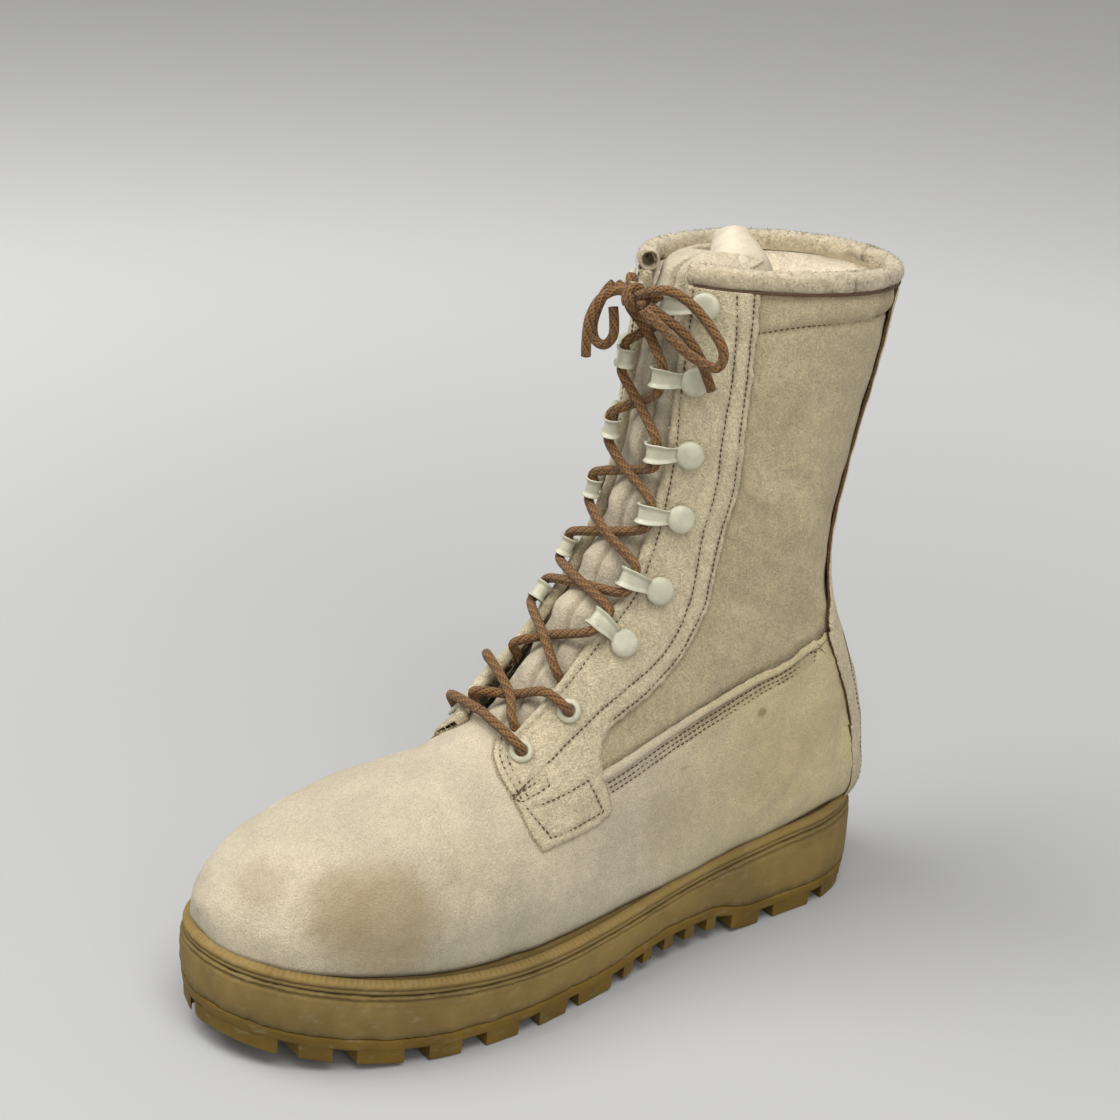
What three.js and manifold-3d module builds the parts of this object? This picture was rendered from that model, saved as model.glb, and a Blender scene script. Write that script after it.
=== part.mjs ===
// A left combat boot, ten inches tall, standing on its sole: rough-side-out leather upper, bellows tongue,
// padded collar roll, lace hooks over two eyelet rows, a round cord lace with a bow, and a lugged sole
// with a wedge midsole and a welt. Millimetres. +X runs from heel to toe, +Y to the wearer's left, which
// is the outer side of the foot, and +Z up. The floor is z = 0.
import * as THREE from "three";
import { mergeVertices } from "three/addons/utils/BufferGeometryUtils.js";
import Module from "manifold-3d";

const wasm = await Module();
wasm.setup();

// ---- Driving dimensions -------------------------------------------------------------------------------
const SOLE_LENGTH = 305; // heel to toe, at the sole's widest level
const COLLAR_BACK = 266; // floor to the upper's top rim, under the collar roll
const COLLAR_FRONT = 272;
const WALL = 3; // leather and lining together
const OVERLAY = 1.8; // facings and backstay
const GAP = 0.3; // between pieces that meet
const LUG_DEPTH = 6;
const OUTSOLE_SLAB = 5; // rubber above the lugs
const WELT_THICKNESS = 5;
const WELT_LEDGE = 6.5; // how far the sole stands out past the upper at the forepart
const LASTING_MARGIN = 10; // the upper's edge turned in under the insole
const INSOLE_THICKNESS = 4;
const TONGUE_THICKNESS = 2.4;
const LACE_RADIUS = 1.9;
const ROLL_HEIGHT = 9; // collar roll
const ROLL_WIDTH = 8;

// The origin stands on the floor under the middle of the whole boot, whose heel counter overhangs the sole.
const MID_X = 149.45; // from the sole's heel
const MID_Y = 1.44; // from the centre plane of the shaft

// ---- Interpolation in tables --------------------------------------------------------------------------

/** A smooth value at a fractional row of a table's column. */
function smoothRow(rows, column, at) {
  const last = rows.length - 1;
  const place = Math.min(Math.max(at, 0), last);
  const i = Math.min(Math.floor(place), last - 1);
  const t = place - i;
  const value = (k) => rows[Math.min(Math.max(k, 0), last)][column];
  const [a, b, c, d] = [value(i - 1), value(i), value(i + 1), value(i + 2)];
  const slopeB = i > 0 ? (c - a) / 2 : c - b;
  const slopeC = i < last - 1 ? (d - b) / 2 : c - b;
  const [t2, t3] = [t * t, t * t * t];
  return (
    b * (2 * t3 - 3 * t2 + 1) + slopeB * (t3 - 2 * t2 + t) + c * (3 * t2 - 2 * t3) + slopeC * (t3 - t2)
  );
}

/** The fractional row at which a rising or falling column has a value. */
function rowWhere(rows, column, value) {
  const rising = rows[rows.length - 1][column] > rows[0][column];
  let [low, high] = [0, rows.length - 1];
  for (let step = 0; step < 40; step++) {
    const middle = (low + high) / 2;
    if (smoothRow(rows, column, middle) < value === rising) low = middle;
    else high = middle;
  }
  return (low + high) / 2;
}

// ---- The last: sections of the upper's outer face ------------------------------------------------------
// Each section is a closed curve in a plane that leans from upright at the toe to level at the collar.
// It runs from its low or back end to its high or front end. centre is the y of both ends, outer and
// inner the y of the widest places, widest where along the section those are, and lowPower and highPower
// how square the two halves are: 2 is an ellipse.
const SECTIONS = [
  { lowX: 299.5, lowZ: 50, highX: 299.5, highZ: 54,
    centre: -7, outer: -5, inner: -9, widest: 0.5, lowPower: 2, highPower: 2 },
  { lowX: 298, lowZ: 43.5, highX: 297.5, highZ: 57,
    centre: -6, outer: 8, inner: -18, widest: 0.45, lowPower: 3, highPower: 2.1 },
  { lowX: 291.5, lowZ: 42, highX: 290, highZ: 64.5,
    centre: -5, outer: 21, inner: -27.5, widest: 0.42, lowPower: 3.4, highPower: 2.05 },
  { lowX: 277, lowZ: 39.6, highX: 275, highZ: 74,
    centre: -4, outer: 35, inner: -37.5, widest: 0.4, lowPower: 3.8, highPower: 2.0 },
  { lowX: 254, lowZ: 36.2, highX: 253, highZ: 82.5,
    centre: -2, outer: 45, inner: -44.5, widest: 0.38, lowPower: 4.2, highPower: 1.95 },
  { lowX: 227, lowZ: 33, highX: 228, highZ: 89,
    centre: -1.5, outer: 50.5, inner: -48.5, widest: 0.36, lowPower: 4.4, highPower: 1.9 },
  { lowX: 198, lowZ: 30.7, highX: 204, highZ: 93,
    centre: 0, outer: 50.5, inner: -45, widest: 0.34, lowPower: 4.4, highPower: 1.9 },
  { lowX: 165, lowZ: 30, highX: 184, highZ: 101.5,
    centre: 0, outer: 46.5, inner: -39.5, widest: 0.32, lowPower: 4.4, highPower: 1.9 },
  { lowX: 128, lowZ: 33, highX: 165, highZ: 119.5,
    centre: 0, outer: 41, inner: -36, widest: 0.32, lowPower: 4.4, highPower: 2.05 },
  { lowX: 88, lowZ: 37.5, highX: 147, highZ: 146,
    centre: 0, outer: 37, inner: -35, widest: 0.34, lowPower: 4.4, highPower: 2.25 },
  { lowX: 50, lowZ: 41, highX: 134.5, highZ: 164,
    centre: 0, outer: 36, inner: -36, widest: 0.36, lowPower: 4, highPower: 2.35 },
  { lowX: 20, lowZ: 43, highX: 128.5, highZ: 177.5,
    centre: 0, outer: 36, inner: -36, widest: 0.37, lowPower: 3, highPower: 2.4 },
  { lowX: 2.5, lowZ: 40, highX: 124.5, highZ: 189,
    centre: 0, outer: 36, inner: -36, widest: 0.38, lowPower: 2.6, highPower: 2.3 },
  { lowX: -1, lowZ: 60, highX: 121.5, highZ: 200.5,
    centre: 0, outer: 36.5, inner: -36.5, widest: 0.4, lowPower: 2.4, highPower: 2.2 },
  { lowX: 4, lowZ: 82, highX: 119.5, highZ: 211.5,
    centre: 0, outer: 37, inner: -37, widest: 0.41, lowPower: 2.3, highPower: 2.15 },
  { lowX: 14.5, lowZ: 105, highX: 118, highZ: 222,
    centre: 0, outer: 37.5, inner: -37.5, widest: 0.42, lowPower: 2.2, highPower: 2.1 },
  { lowX: 25, lowZ: 129, highX: 117, highZ: 232,
    centre: 0, outer: 38, inner: -38, widest: 0.43, lowPower: 2.15, highPower: 2.05 },
  { lowX: 28, lowZ: 157, highX: 116.2, highZ: 242.5,
    centre: 0, outer: 38.5, inner: -38.5, widest: 0.43, lowPower: 2.1, highPower: 2 },
  { lowX: 21.5, lowZ: 196, highX: 115.6, highZ: 252,
    centre: 0, outer: 39, inner: -39, widest: 0.43, lowPower: 2.1, highPower: 1.95 },
  { lowX: 12, lowZ: 234, highX: 115.3, highZ: 262,
    centre: 0, outer: 39.5, inner: -39.5, widest: 0.43, lowPower: 2.1, highPower: 1.9 },
  { lowX: 6, lowZ: COLLAR_BACK, highX: 115.3, highZ: COLLAR_FRONT,
    centre: 0, outer: 40, inner: -39, widest: 0.43, lowPower: 2.1, highPower: 1.85 },
];
const COLLAR_ROW = SECTIONS.length - 1;
const HEEL_ROW = 11; // the last section that ends on the sole
const SUNK = 8; // sections that end on the sole run this far below it, and are cut level

/** A point of the last's face: row along SECTIONS, and turn once round from 0 at the low end. */
function facePoint(row, turn) {
  const at = (column) => smoothRow(SECTIONS, column, row);
  const low = new THREE.Vector2(at("lowX"), at("lowZ"));
  const high = new THREE.Vector2(at("highX"), at("highZ"));
  const { smoothstep } = THREE.MathUtils;
  const sunk = SUNK * smoothstep(HEEL_ROW + 1 - row, 0, 1) * smoothstep(row, 0, 1);
  const along = high.clone().sub(low).normalize();
  low.addScaledVector(along, -sunk);
  const length = high.distanceTo(low);
  const angle = 2 * Math.PI * turn;
  const [towards, aside] = [-Math.cos(angle), Math.sin(angle)];
  const power = 2 / (towards < 0 ? at("lowPower") : at("highPower"));
  const widest = at("widest") * length;
  const reach = towards < 0 ? widest : length - widest;
  const travel = widest + Math.sign(towards) * reach * Math.abs(towards) ** power;
  const centre = at("centre");
  const side = (aside >= 0 ? at("outer") : at("inner")) - centre;
  const place = low.addScaledVector(along, travel);
  return new THREE.Vector3(place.x - MID_X, centre + side * Math.abs(aside) ** power, place.y);
}

/** The outward direction of the last's face. */
function faceNormal(row, turn) {
  const step = 0.02;
  const rowLow = Math.max(row, 0.25);
  const alongRows = facePoint(Math.min(rowLow + step, COLLAR_ROW), turn).sub(facePoint(rowLow - step, turn));
  const around = facePoint(rowLow, turn + step / 4).sub(facePoint(rowLow, turn - step / 4));
  return alongRows.cross(around).normalize();
}

/** A point off the face by a distance, outward where it is positive. */
function offFace(row, turn, distance) {
  return facePoint(row, turn).addScaledVector(faceNormal(row, turn), distance);
}

// ---- Solids -------------------------------------------------------------------------------------------

/** A BufferGeometry from a list of points and a list of triangles. */
function geometryOf(points, triangles) {
  const geometry = new THREE.BufferGeometry().setFromPoints(points);
  geometry.setIndex(triangles.flat());
  return geometry;
}

/** A three.js geometry as a manifold-3d solid. */
function solidOf(geometry) {
  const bare = new THREE.BufferGeometry().setAttribute("position", geometry.getAttribute("position"));
  bare.setIndex(geometry.getIndex());
  const merged = mergeVertices(bare, 1e-4);
  const made = new wasm.Manifold(
    new wasm.Mesh({
      numProp: 3,
      vertProperties: new Float32Array(merged.getAttribute("position").array),
      triVerts: new Uint32Array(merged.getIndex().array),
    }),
  );
  if (made.volume() < 0) throw new Error("a solid's faces point inwards");
  return made;
}

/** A manifold-3d solid as a BufferGeometry. */
function geometryFrom(solid) {
  const mesh = solid.getMesh();
  const points = [];
  for (let i = 0; i < mesh.numVert; i++) {
    points.push(new THREE.Vector3().fromArray(mesh.vertProperties, i * mesh.numProp));
  }
  const geometry = new THREE.BufferGeometry().setFromPoints(points);
  geometry.setIndex([...mesh.triVerts]);
  return geometry;
}

/** The mean of a list of points. */
function meanOf(points) {
  return points.reduce((sum, p) => sum.add(p), new THREE.Vector3()).divideScalar(points.length);
}

/** A closed solid through rings with equal counts of points, capped at both ends. */
function loftOf(rings) {
  const count = rings[0].length;
  const points = rings.flat();
  const triangles = [];
  for (let i = 0; i < rings.length - 1; i++) {
    for (let j = 0; j < count; j++) {
      const next = (j + 1) % count;
      const [a, b] = [i * count + j, i * count + next];
      const [c, d] = [a + count, b + count];
      triangles.push([a, b, d], [a, d, c]);
    }
  }
  const first = points.push(meanOf(rings[0])) - 1;
  const last = points.push(meanOf(rings[rings.length - 1])) - 1;
  const top = (rings.length - 1) * count;
  for (let j = 0; j < count; j++) {
    const next = (j + 1) % count;
    triangles.push([first, next, j], [last, top + j, top + next]);
  }
  return facingOut(points, triangles);
}

/** Turns every triangle round if the solid they enclose would be inside out. */
function facingOut(points, triangles) {
  const volume = triangles.reduce(
    (sum, [a, b, c]) => sum + points[a].dot(points[b].clone().cross(points[c])),
    0,
  );
  return geometryOf(points, volume < 0 ? triangles.map(([a, b, c]) => [a, c, b]) : triangles);
}

/** A thick sheet between two grids of points, closed along its four edges. */
function sheetOf(front, back) {
  const [rows, columns] = [front.length, front[0].length];
  const points = [...front.flat(), ...back.flat()];
  const half = rows * columns;
  const triangles = [];
  const quad = (a, b, c, d) => triangles.push([a, b, c], [a, c, d]);
  for (let i = 0; i < rows - 1; i++) {
    for (let j = 0; j < columns - 1; j++) {
      const a = i * columns + j;
      const [b, c, d] = [a + 1, a + columns + 1, a + columns];
      quad(a, b, c, d);
      quad(half + a, half + d, half + c, half + b);
    }
  }
  const rim = [];
  for (let j = 0; j < columns - 1; j++) rim.push(j);
  for (let i = 0; i < rows - 1; i++) rim.push(i * columns + columns - 1);
  for (let j = columns - 1; j > 0; j--) rim.push((rows - 1) * columns + j);
  for (let i = rows - 1; i > 0; i--) rim.push(i * columns);
  rim.forEach((a, k) => {
    const b = rim[(k + 1) % rim.length];
    quad(a, half + a, half + b, b);
  });
  return facingOut(points, triangles);
}

/** A list of evenly spaced numbers from one to another, both included. */
function steps(from, to, count) {
  return Array.from({ length: count + 1 }, (_, i) => from + ((to - from) * i) / count);
}

/** A round cord along points, as a solid. */
function cordOf(points, sections, radius = LACE_RADIUS) {
  const round = new THREE.Shape();
  round.absarc(0, 0, radius, 0, 2 * Math.PI, false);
  return new THREE.ExtrudeGeometry(round, {
    steps: sections,
    curveSegments: 4,
    bevelEnabled: false,
    extrudePath: new THREE.CatmullRomCurve3(points),
  });
}

// ---- Materials ----------------------------------------------------------------------------------------
const finish = (color, roughness, metalness = 0) =>
  new THREE.MeshStandardMaterial({ color, roughness, metalness });
const suede = finish(0xc9b994, 0.95);
const suedeEdge = finish(0xbfae88, 0.95);
const lining = finish(0xcdbf9f, 0.95);
const rubber = finish(0xab8a50, 0.75);
const midsoleRubber = finish(0xa88d58, 0.8);
const footbed = finish(0x6e6450, 0.9);
const enamel = finish(0xc4c2ab, 0.4, 0.2);
const laceCord = finish(0x7a4a22, 0.8);

const boot = new THREE.Group();

function addPiece(name, geometry, material) {
  const mesh = new THREE.Mesh(geometry, material);
  mesh.name = name;
  boot.add(mesh);
  return mesh;
}

// ---- Sole outline and heights -------------------------------------------------------------------------
// The sole's widest outline, by an angle that runs from the heel's back to the toe's tip: x is
// half the length times 1 - cos(angle). outer and inner are y on the two sides.
const OUTLINE = [
  { outer: 0, inner: 0 }, // 0 degrees
  { outer: 25, inner: -25 }, // 18
  { outer: 37.5, inner: -37 }, // 36
  { outer: 40, inner: -38 }, // 54
  { outer: 43, inner: -37 }, // 72
  { outer: 51, inner: -41 }, // 90
  { outer: 58, inner: -51 }, // 108
  { outer: 54.5, inner: -55 }, // 126
  { outer: 41, inner: -45 }, // 144
  { outer: 20.5, inner: -27 }, // 162
  { outer: -5, inner: -5 }, // 180
];

// The top of the sole, where the upper rests, and the tread's contact surface, along the sole.
const SOLE_HEIGHTS = [
  { x: 0, top: 43.5, tread: 2 },
  { x: 10, top: 43.4, tread: 0 },
  { x: 50, top: 41, tread: 0 },
  { x: 88, top: 37.5, tread: 0 },
  { x: 128, top: 33, tread: 0 },
  { x: 165, top: 30, tread: 0 },
  { x: 198, top: 30.7, tread: 0 },
  { x: 227, top: 33, tread: 0 },
  { x: 254, top: 36.2, tread: 2 },
  { x: 277, top: 39.6, tread: 5 },
  { x: 294, top: 42.2, tread: 8 },
  { x: 305, top: 44, tread: 10 },
];
const ARCH = { from: 82, to: 150, rise: 9 }; // the shank between heel breast and forepart, off the floor

function soleHeight(column, x) {
  return smoothRow(SOLE_HEIGHTS, column, rowWhere(SOLE_HEIGHTS, "x", x));
}

/** Stations from heel to toe of the outline drawn in by inset: x from the heel's back, and both y. */
function outlineStations(inset, count = 32) {
  return steps(0, Math.PI, count).map((angle) => {
    const at = (angle / Math.PI) * (OUTLINE.length - 1);
    const share = (1 - Math.cos(angle)) / 2;
    const outer = smoothRow(OUTLINE, "outer", at);
    const inner = smoothRow(OUTLINE, "inner", at);
    const middle = (outer + inner) / 2;
    const narrowed = Math.max((outer - inner) / 2 - inset * Math.sin(angle) ** 0.35, 0);
    return {
      x: inset + share * (SOLE_LENGTH - 2 * inset),
      outer: middle + narrowed,
      inner: middle - narrowed,
    };
  });
}

/** A slab through levels from low to high, each an inset of the outline and a height along the sole. */
function slabOf(levels, count = 32) {
  const stations = levels.map(({ inset }) => outlineStations(inset, count));
  const points = [];
  const index = (level, i, side) => {
    const key = i === 0 || i === count ? 0 : side;
    return level * 2 * (count + 1) + 2 * i + key;
  };
  levels.forEach(({ height }, level) =>
    stations[level].forEach(({ x, outer, inner }) => {
      points.push(...[outer, inner].map((y) => new THREE.Vector3(x - MID_X, y, height(x))));
    }),
  );
  const triangles = [];
  const add = (a, b, c) => a !== b && b !== c && a !== c && triangles.push([a, b, c]);
  for (let i = 0; i < count; i++) {
    const cap = (level, flip) => {
      const [a, b] = [index(level, i, 0), index(level, i + 1, 0)];
      const [c, d] = [index(level, i + 1, 1), index(level, i, 1)];
      if (flip) [add(a, b, c), add(a, c, d)];
      else [add(a, c, b), add(a, d, c)];
    };
    cap(0, true);
    cap(levels.length - 1, false);
    for (let level = 0; level < levels.length - 1; level++) {
      for (const side of [0, 1]) {
        const [a, b] = [index(level, i, side), index(level, i + 1, side)];
        const [c, d] = [index(level + 1, i + 1, side), index(level + 1, i, side)];
        if (side) [add(a, b, c), add(a, c, d)];
        else [add(a, c, b), add(a, d, c)];
      }
    }
  }
  return facingOut(points, triangles);
}

// ---- Outsole ------------------------------------------------------------------------------------------

/** The height of the outsole's own top face, under the midsole. */
const outsoleTop = (x) => treadHeight(x) + LUG_DEPTH + OUTSOLE_SLAB;

/** The tread's surface, lifted in the arch. */
function treadHeight(x) {
  const { from, to, rise } = ARCH;
  const { smoothstep } = THREE.MathUtils;
  const arch = smoothstep(x, from - 12, from + 14) * (1 - smoothstep(x, to - 34, to + 10));
  return Math.max(soleHeight("tread", x), 0) + rise * arch * 0.6;
}

/** A vertical prism over a quadrilateral in plan, given by x from the heel's back and y. */
function prismOver(corners, low, high) {
  const points = [low, high].flatMap((z) => corners.map(([x, y]) => new THREE.Vector3(x - MID_X, y, z)));
  const n = corners.length;
  const triangles = [];
  for (let i = 0; i < n; i++) {
    const next = (i + 1) % n;
    triangles.push([i, next, n + next], [i, n + next, n + i]);
    if (i > 0 && i < n - 1) triangles.push([0, i + 1, i], [n, n + i, n + i + 1]);
  }
  return solidOf(facingOut(points, triangles));
}

// Lugs along both edges, and the centre lugs between: where each starts and ends, from the heel's back.
const EDGE_LUGS = [
  { from: -1, to: 9 },
  { from: 15, to: 30 },
  { from: 38, to: 58.5 },
  { from: 66.5, to: 82 },
  { from: 150, to: 168 },
  { from: 174.5, to: 188.5 },
  { from: 198.5, to: 213 },
  { from: 223.5, to: 236.5 },
  { from: 246, to: 262.5 },
  { from: 270.5, to: 281 },
  { from: 287, to: 306 },
];
const CENTRE_LUGS = [
  { from: 10, to: 24 },
  { from: 34, to: 48 },
  { from: 58, to: 76 },
  { from: 152, to: 166 },
  { from: 177, to: 190 },
  { from: 201, to: 214 },
  { from: 225, to: 238 },
  { from: 249, to: 262 },
  { from: 273, to: 285 },
];
const SHANK_BARS = [
  { from: 91, to: 96 },
  { from: 103, to: 108 },
  { from: 115, to: 120 },
  { from: 127, to: 132 },
  { from: 138, to: 143 },
];

function makeOutsole() {
  const underside = (x) => treadHeight(x) + LUG_DEPTH;
  const slab = [
    { inset: 1.2, height: underside },
    { inset: 0.6, height: outsoleTop },
  ];
  let outsole = solidOf(slabOf(slab));
  const full = solidOf(slabOf([{ inset: 3.5, height: treadHeight }, ...slab]));
  const addLug = (corners) => {
    outsole = outsole.add(prismOver(corners, -5, 60).intersect(full));
  };
  for (const { from, to } of EDGE_LUGS) {
    addLug([[from, 21], [to, 18], [to, 70], [from, 70]]);
    addLug([[from, -70], [to, -70], [to, -18], [from, -21]]);
  }
  for (const { from, to } of CENTRE_LUGS) {
    addLug([[from + 5, 13], [from, 0], [from + 5, -13], [to + 5, -13], [to, 0], [to + 5, 13]]);
  }
  for (const { from, to } of SHANK_BARS) addLug([[from, -60], [to, -60], [to, 60], [from, 60]]);
  return outsole;
}

const outsole = makeOutsole();
addPiece("outsole", geometryFrom(outsole), rubber);

// ---- Midsole and welt ---------------------------------------------------------------------------------
const topHeight = (x) => soleHeight("top", x);
const weltBottom = (x) => topHeight(x) - WELT_THICKNESS;
const midsoleBottom = (x) => outsoleTop(x) + GAP;
const midHeight = (x) => (midsoleBottom(x) + weltBottom(x)) / 2;

addPiece(
  "midsole",
  slabOf([
    { inset: 0.6, height: midsoleBottom },
    { inset: 0, height: midHeight },
    { inset: 1.2, height: (x) => weltBottom(x) - GAP },
  ]),
  midsoleRubber,
);
addPiece(
  "welt",
  slabOf([
    { inset: 1.6, height: weltBottom },
    { inset: 1.6, height: (x) => topHeight(x) - WELT_THICKNESS * 0.4 },
    { inset: 3.2, height: topHeight },
  ]),
  midsoleRubber,
);

// ---- Upper --------------------------------------------------------------------------------------------
const ROWS = 20;
const AROUND = 26;

/** The closed form of the last's face moved out by a distance. Past the collar it goes on by rise. */
function lastForm(distance, rise = 0) {
  const rings = steps(0, COLLAR_ROW, ROWS).map((row) =>
    steps(0, 1 - 1 / AROUND, AROUND - 1).map((turn) => offFace(row, turn, distance)),
  );
  if (distance < 0) rings[0] = rings[0].map((p) => meanOf(rings[0]).lerp(p, 0.5));
  if (rise > 0) rings.push(rings[ROWS].map((p) => p.clone().add(new THREE.Vector3(0, 0, rise))));
  return solidOf(loftOf(rings));
}

/** Everything below the sole's top face raised by a distance. */
function belowFeather(raised) {
  const profile = steps(-20, SOLE_LENGTH + 20, 16).map((x) => {
    const onSole = THREE.MathUtils.clamp(x, 0, SOLE_LENGTH);
    return new THREE.Vector2(x - MID_X, topHeight(onSole) + raised);
  });
  const corner = (x) => new THREE.Vector2(x - MID_X, -20);
  const shape = new THREE.Shape([corner(-20), ...profile, corner(SOLE_LENGTH + 20)]);
  const block = new THREE.ExtrudeGeometry(shape, { depth: 200, bevelEnabled: false });
  block.rotateX(Math.PI / 2).translate(0, 100, 0);
  return solidOf(block);
}

// The throat's two edges from the centre plane, from its foot up to the collar, by section row. The inner
// facing is drawn closer in at the top, where the lace is tied.
const THROAT = [
  { row: 7, outer: 8.5, inner: 8.5 },
  { row: 7.2, outer: 12.5, inner: 12 },
  { row: 8.1, outer: 14.5, inner: 14 },
  { row: 9.2, outer: 16.5, inner: 17 },
  { row: 10.4, outer: 16.5, inner: 16.5 },
  { row: 12.6, outer: 14.5, inner: 13 },
  { row: 14.75, outer: 14.5, inner: 10.5 },
  { row: 17.15, outer: 14, inner: 8.5 },
  { row: COLLAR_ROW, outer: 13, inner: 8 },
];
const THROAT_FOOT = THROAT[0].row;

/** The throat's edge from the centre plane on the outer side (+1) or inner side (-1). */
function throatEdge(row, side) {
  return smoothRow(THROAT, side > 0 ? "outer" : "inner", rowWhere(THROAT, "row", row));
}

/** The turn at which the face is a width from the centre plane, on the outer (+1) or inner (-1) side. */
function turnAtWidth(row, width, side) {
  let [low, high] = [0.3, 0.5];
  for (let step = 0; step < 30; step++) {
    const middle = (low + high) / 2;
    const turn = side > 0 ? middle : 1 - middle;
    if (Math.abs(facePoint(row, turn).y) > width) low = middle;
    else high = middle;
  }
  return side > 0 ? (low + high) / 2 : 1 - (low + high) / 2;
}

/** The slot for tongue and laces, from the throat's foot through the collar. */
function throatCutter() {
  const rings = steps(THROAT_FOOT, COLLAR_ROW, 12).map((row) => {
    const ridge = facePoint(row, 0.5);
    const centre = facePoint(row, 0).lerp(ridge, 0.6);
    const out = ridge.clone().add(ridge.clone().sub(centre).normalize().multiplyScalar(16));
    const [outer, inner] = [throatEdge(row, 1), -throatEdge(row, -1)];
    return [
      new THREE.Vector3(centre.x, inner, centre.z),
      new THREE.Vector3(centre.x, outer, centre.z),
      new THREE.Vector3(out.x, outer, out.z),
      new THREE.Vector3(out.x, inner, out.z),
    ];
  });
  rings.push(rings[rings.length - 1].map((p) => p.clone().add(new THREE.Vector3(0, 0, 20))));
  return solidOf(loftOf(rings));
}

// Eyelets and hooks up the throat, the same on both facings: section rows, and sizes.
const EYELET_ROWS = [7.2, 8.1];
const HOOK_ROWS = [9.2, 10.4, 12.6, 14.75, 17.15, 19.45];
const EYELET = { flange: 4.7, bore: 2.3, barrel: 2.9, crown: 1.2, proud: 0.7, fromEdge: 9 };
const HOOK = {
  disc: 5.5,
  cap: 2.6,
  width: 6.6,
  strap: 1.2,
  curl: 2.4,
  dip: 1.8, // how far the curl's foot hangs past the facing's edge
  reach: 18,
  proud: 0.4,
  fromEdge: 8,
};

/** A frame on the face: its origin off the face, z outward, and x square to the throat's edge, towards it. */
function fittingFrame(row, side, fromEdge, distance) {
  const turnAt = (at) => turnAtWidth(at, throatEdge(at, side) + fromEdge * 0.85, side);
  const turn = turnAt(row);
  const out = faceNormal(row, turn);
  const upward = facePoint(row + 0.1, turnAt(row + 0.1)).sub(facePoint(row - 0.1, turnAt(row - 0.1)));
  const towards = out.clone().cross(upward).multiplyScalar(side).normalize();
  const basis = new THREE.Matrix4().makeBasis(towards, out.clone().cross(towards), out);
  return basis.setPosition(offFace(row, turn, distance));
}

const holes = EYELET_ROWS.flatMap((row) =>
  [1, -1].map((side) => {
    const hole = new THREE.CylinderGeometry(EYELET.barrel + GAP, EYELET.barrel + GAP, 24, 10);
    return solidOf(hole.rotateX(Math.PI / 2).applyMatrix4(fittingFrame(row, side, EYELET.fromEdge, 0)));
  }),
);
const throat = throatCutter();

function makeUpper() {
  const shell = lastForm(0).subtract(belowFeather(GAP));
  const hollow = lastForm(-WALL, 12).subtract(belowFeather(GAP + WALL));
  const inset = WELT_LEDGE + WALL + LASTING_MARGIN;
  const opening = solidOf(slabOf([{ inset, height: () => -10 }, { inset, height: () => 80 }], 16));
  let upper = shell.subtract(hollow).subtract(opening.intersect(belowFeather(GAP + WALL + 6)));
  for (const cut of [throat, ...holes]) upper = upper.subtract(cut);
  return upper;
}
addPiece("upper", geometryFrom(makeUpper()), suede);

// ---- Insole -------------------------------------------------------------------------------------------
const seat = GAP + WALL + GAP;
const insoleTop = belowFeather(seat + INSOLE_THICKNESS);
const insole = lastForm(-WALL - GAP).subtract(belowFeather(seat)).intersect(insoleTop);
addPiece("insole", geometryFrom(insole), footbed);

// ---- Overlays: facings and backstay -------------------------------------------------------------------
const overlayForm = lastForm(GAP + OVERLAY).subtract(lastForm(GAP));

/** The part of the overlay's layer between two turns, given by row, from one row to another. */
function overlayOf(rows, startAt, endAt) {
  const grid = (distance) =>
    rows.map((row) => steps(startAt(row), endAt(row), 4).map((turn) => offFace(row, turn, distance)));
  return overlayForm.intersect(solidOf(sheetOf(grid(6), grid(-5))));
}

// A facing's far edge from the throat, as the turn on the outer side, by section row. Its foot is a tab.
const FACING_EDGE = [
  { row: 6.65, turn: 0.33 },
  { row: 7.1, turn: 0.315 },
  { row: 7.9, turn: 0.302 },
  { row: 8.15, turn: 0.345 },
  { row: 8.4, turn: 0.362 },
  { row: 10, turn: 0.36 },
  { row: 13.5, turn: 0.356 },
  { row: 16, turn: 0.34 },
  { row: 18, turn: 0.343 },
  { row: COLLAR_ROW, turn: 0.355 },
];
// Below the throat its near edge curves forward over the vamp: how far it is from the centre plane.
const FACING_FOOT = [
  { row: 6.65, width: 27 },
  { row: 6.72, width: 20 },
  { row: 6.85, width: 14.5 },
  { row: THROAT_FOOT + 0.05, width: 11 },
];

function makeFacing(side) {
  const inside = 0.6; // kept back from the throat's edge
  const foot = FACING_FOOT.map(({ row }) => row);
  const rows = [...foot, ...steps(THROAT_FOOT + 0.2, 8.4, 6), ...steps(9, COLLAR_ROW, 8)];
  const at = (table, column, row) => smoothRow(table, column, rowWhere(table, "row", row));
  const start = (row) => {
    const width = row > THROAT_FOOT + 0.1 ? throatEdge(row, side) + inside : at(FACING_FOOT, "width", row);
    return turnAtWidth(row, width, side);
  };
  const end = (row) => (side > 0 ? at(FACING_EDGE, "turn", row) : 1 - at(FACING_EDGE, "turn", row));
  let facing = overlayOf(rows, start, end);
  for (const hole of holes) facing = facing.subtract(hole);
  return facing;
}
addPiece("facing_outer", geometryFrom(makeFacing(1)), suedeEdge);
addPiece("facing_inner", geometryFrom(makeFacing(-1)), suedeEdge);

// Half the backstay's width, as a turn, by section row: it is widest round the ankle.
const BACKSTAY = [
  { row: 11.6, turn: 0.118 },
  { row: 12.5, turn: 0.155 },
  { row: 13.5, turn: 0.205 },
  { row: 14.1, turn: 0.218 },
  { row: 15.3, turn: 0.19 },
  { row: 16.2, turn: 0.15 },
  { row: 17, turn: 0.128 },
  { row: 18.5, turn: 0.124 },
  { row: COLLAR_ROW, turn: 0.134 },
];

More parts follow.
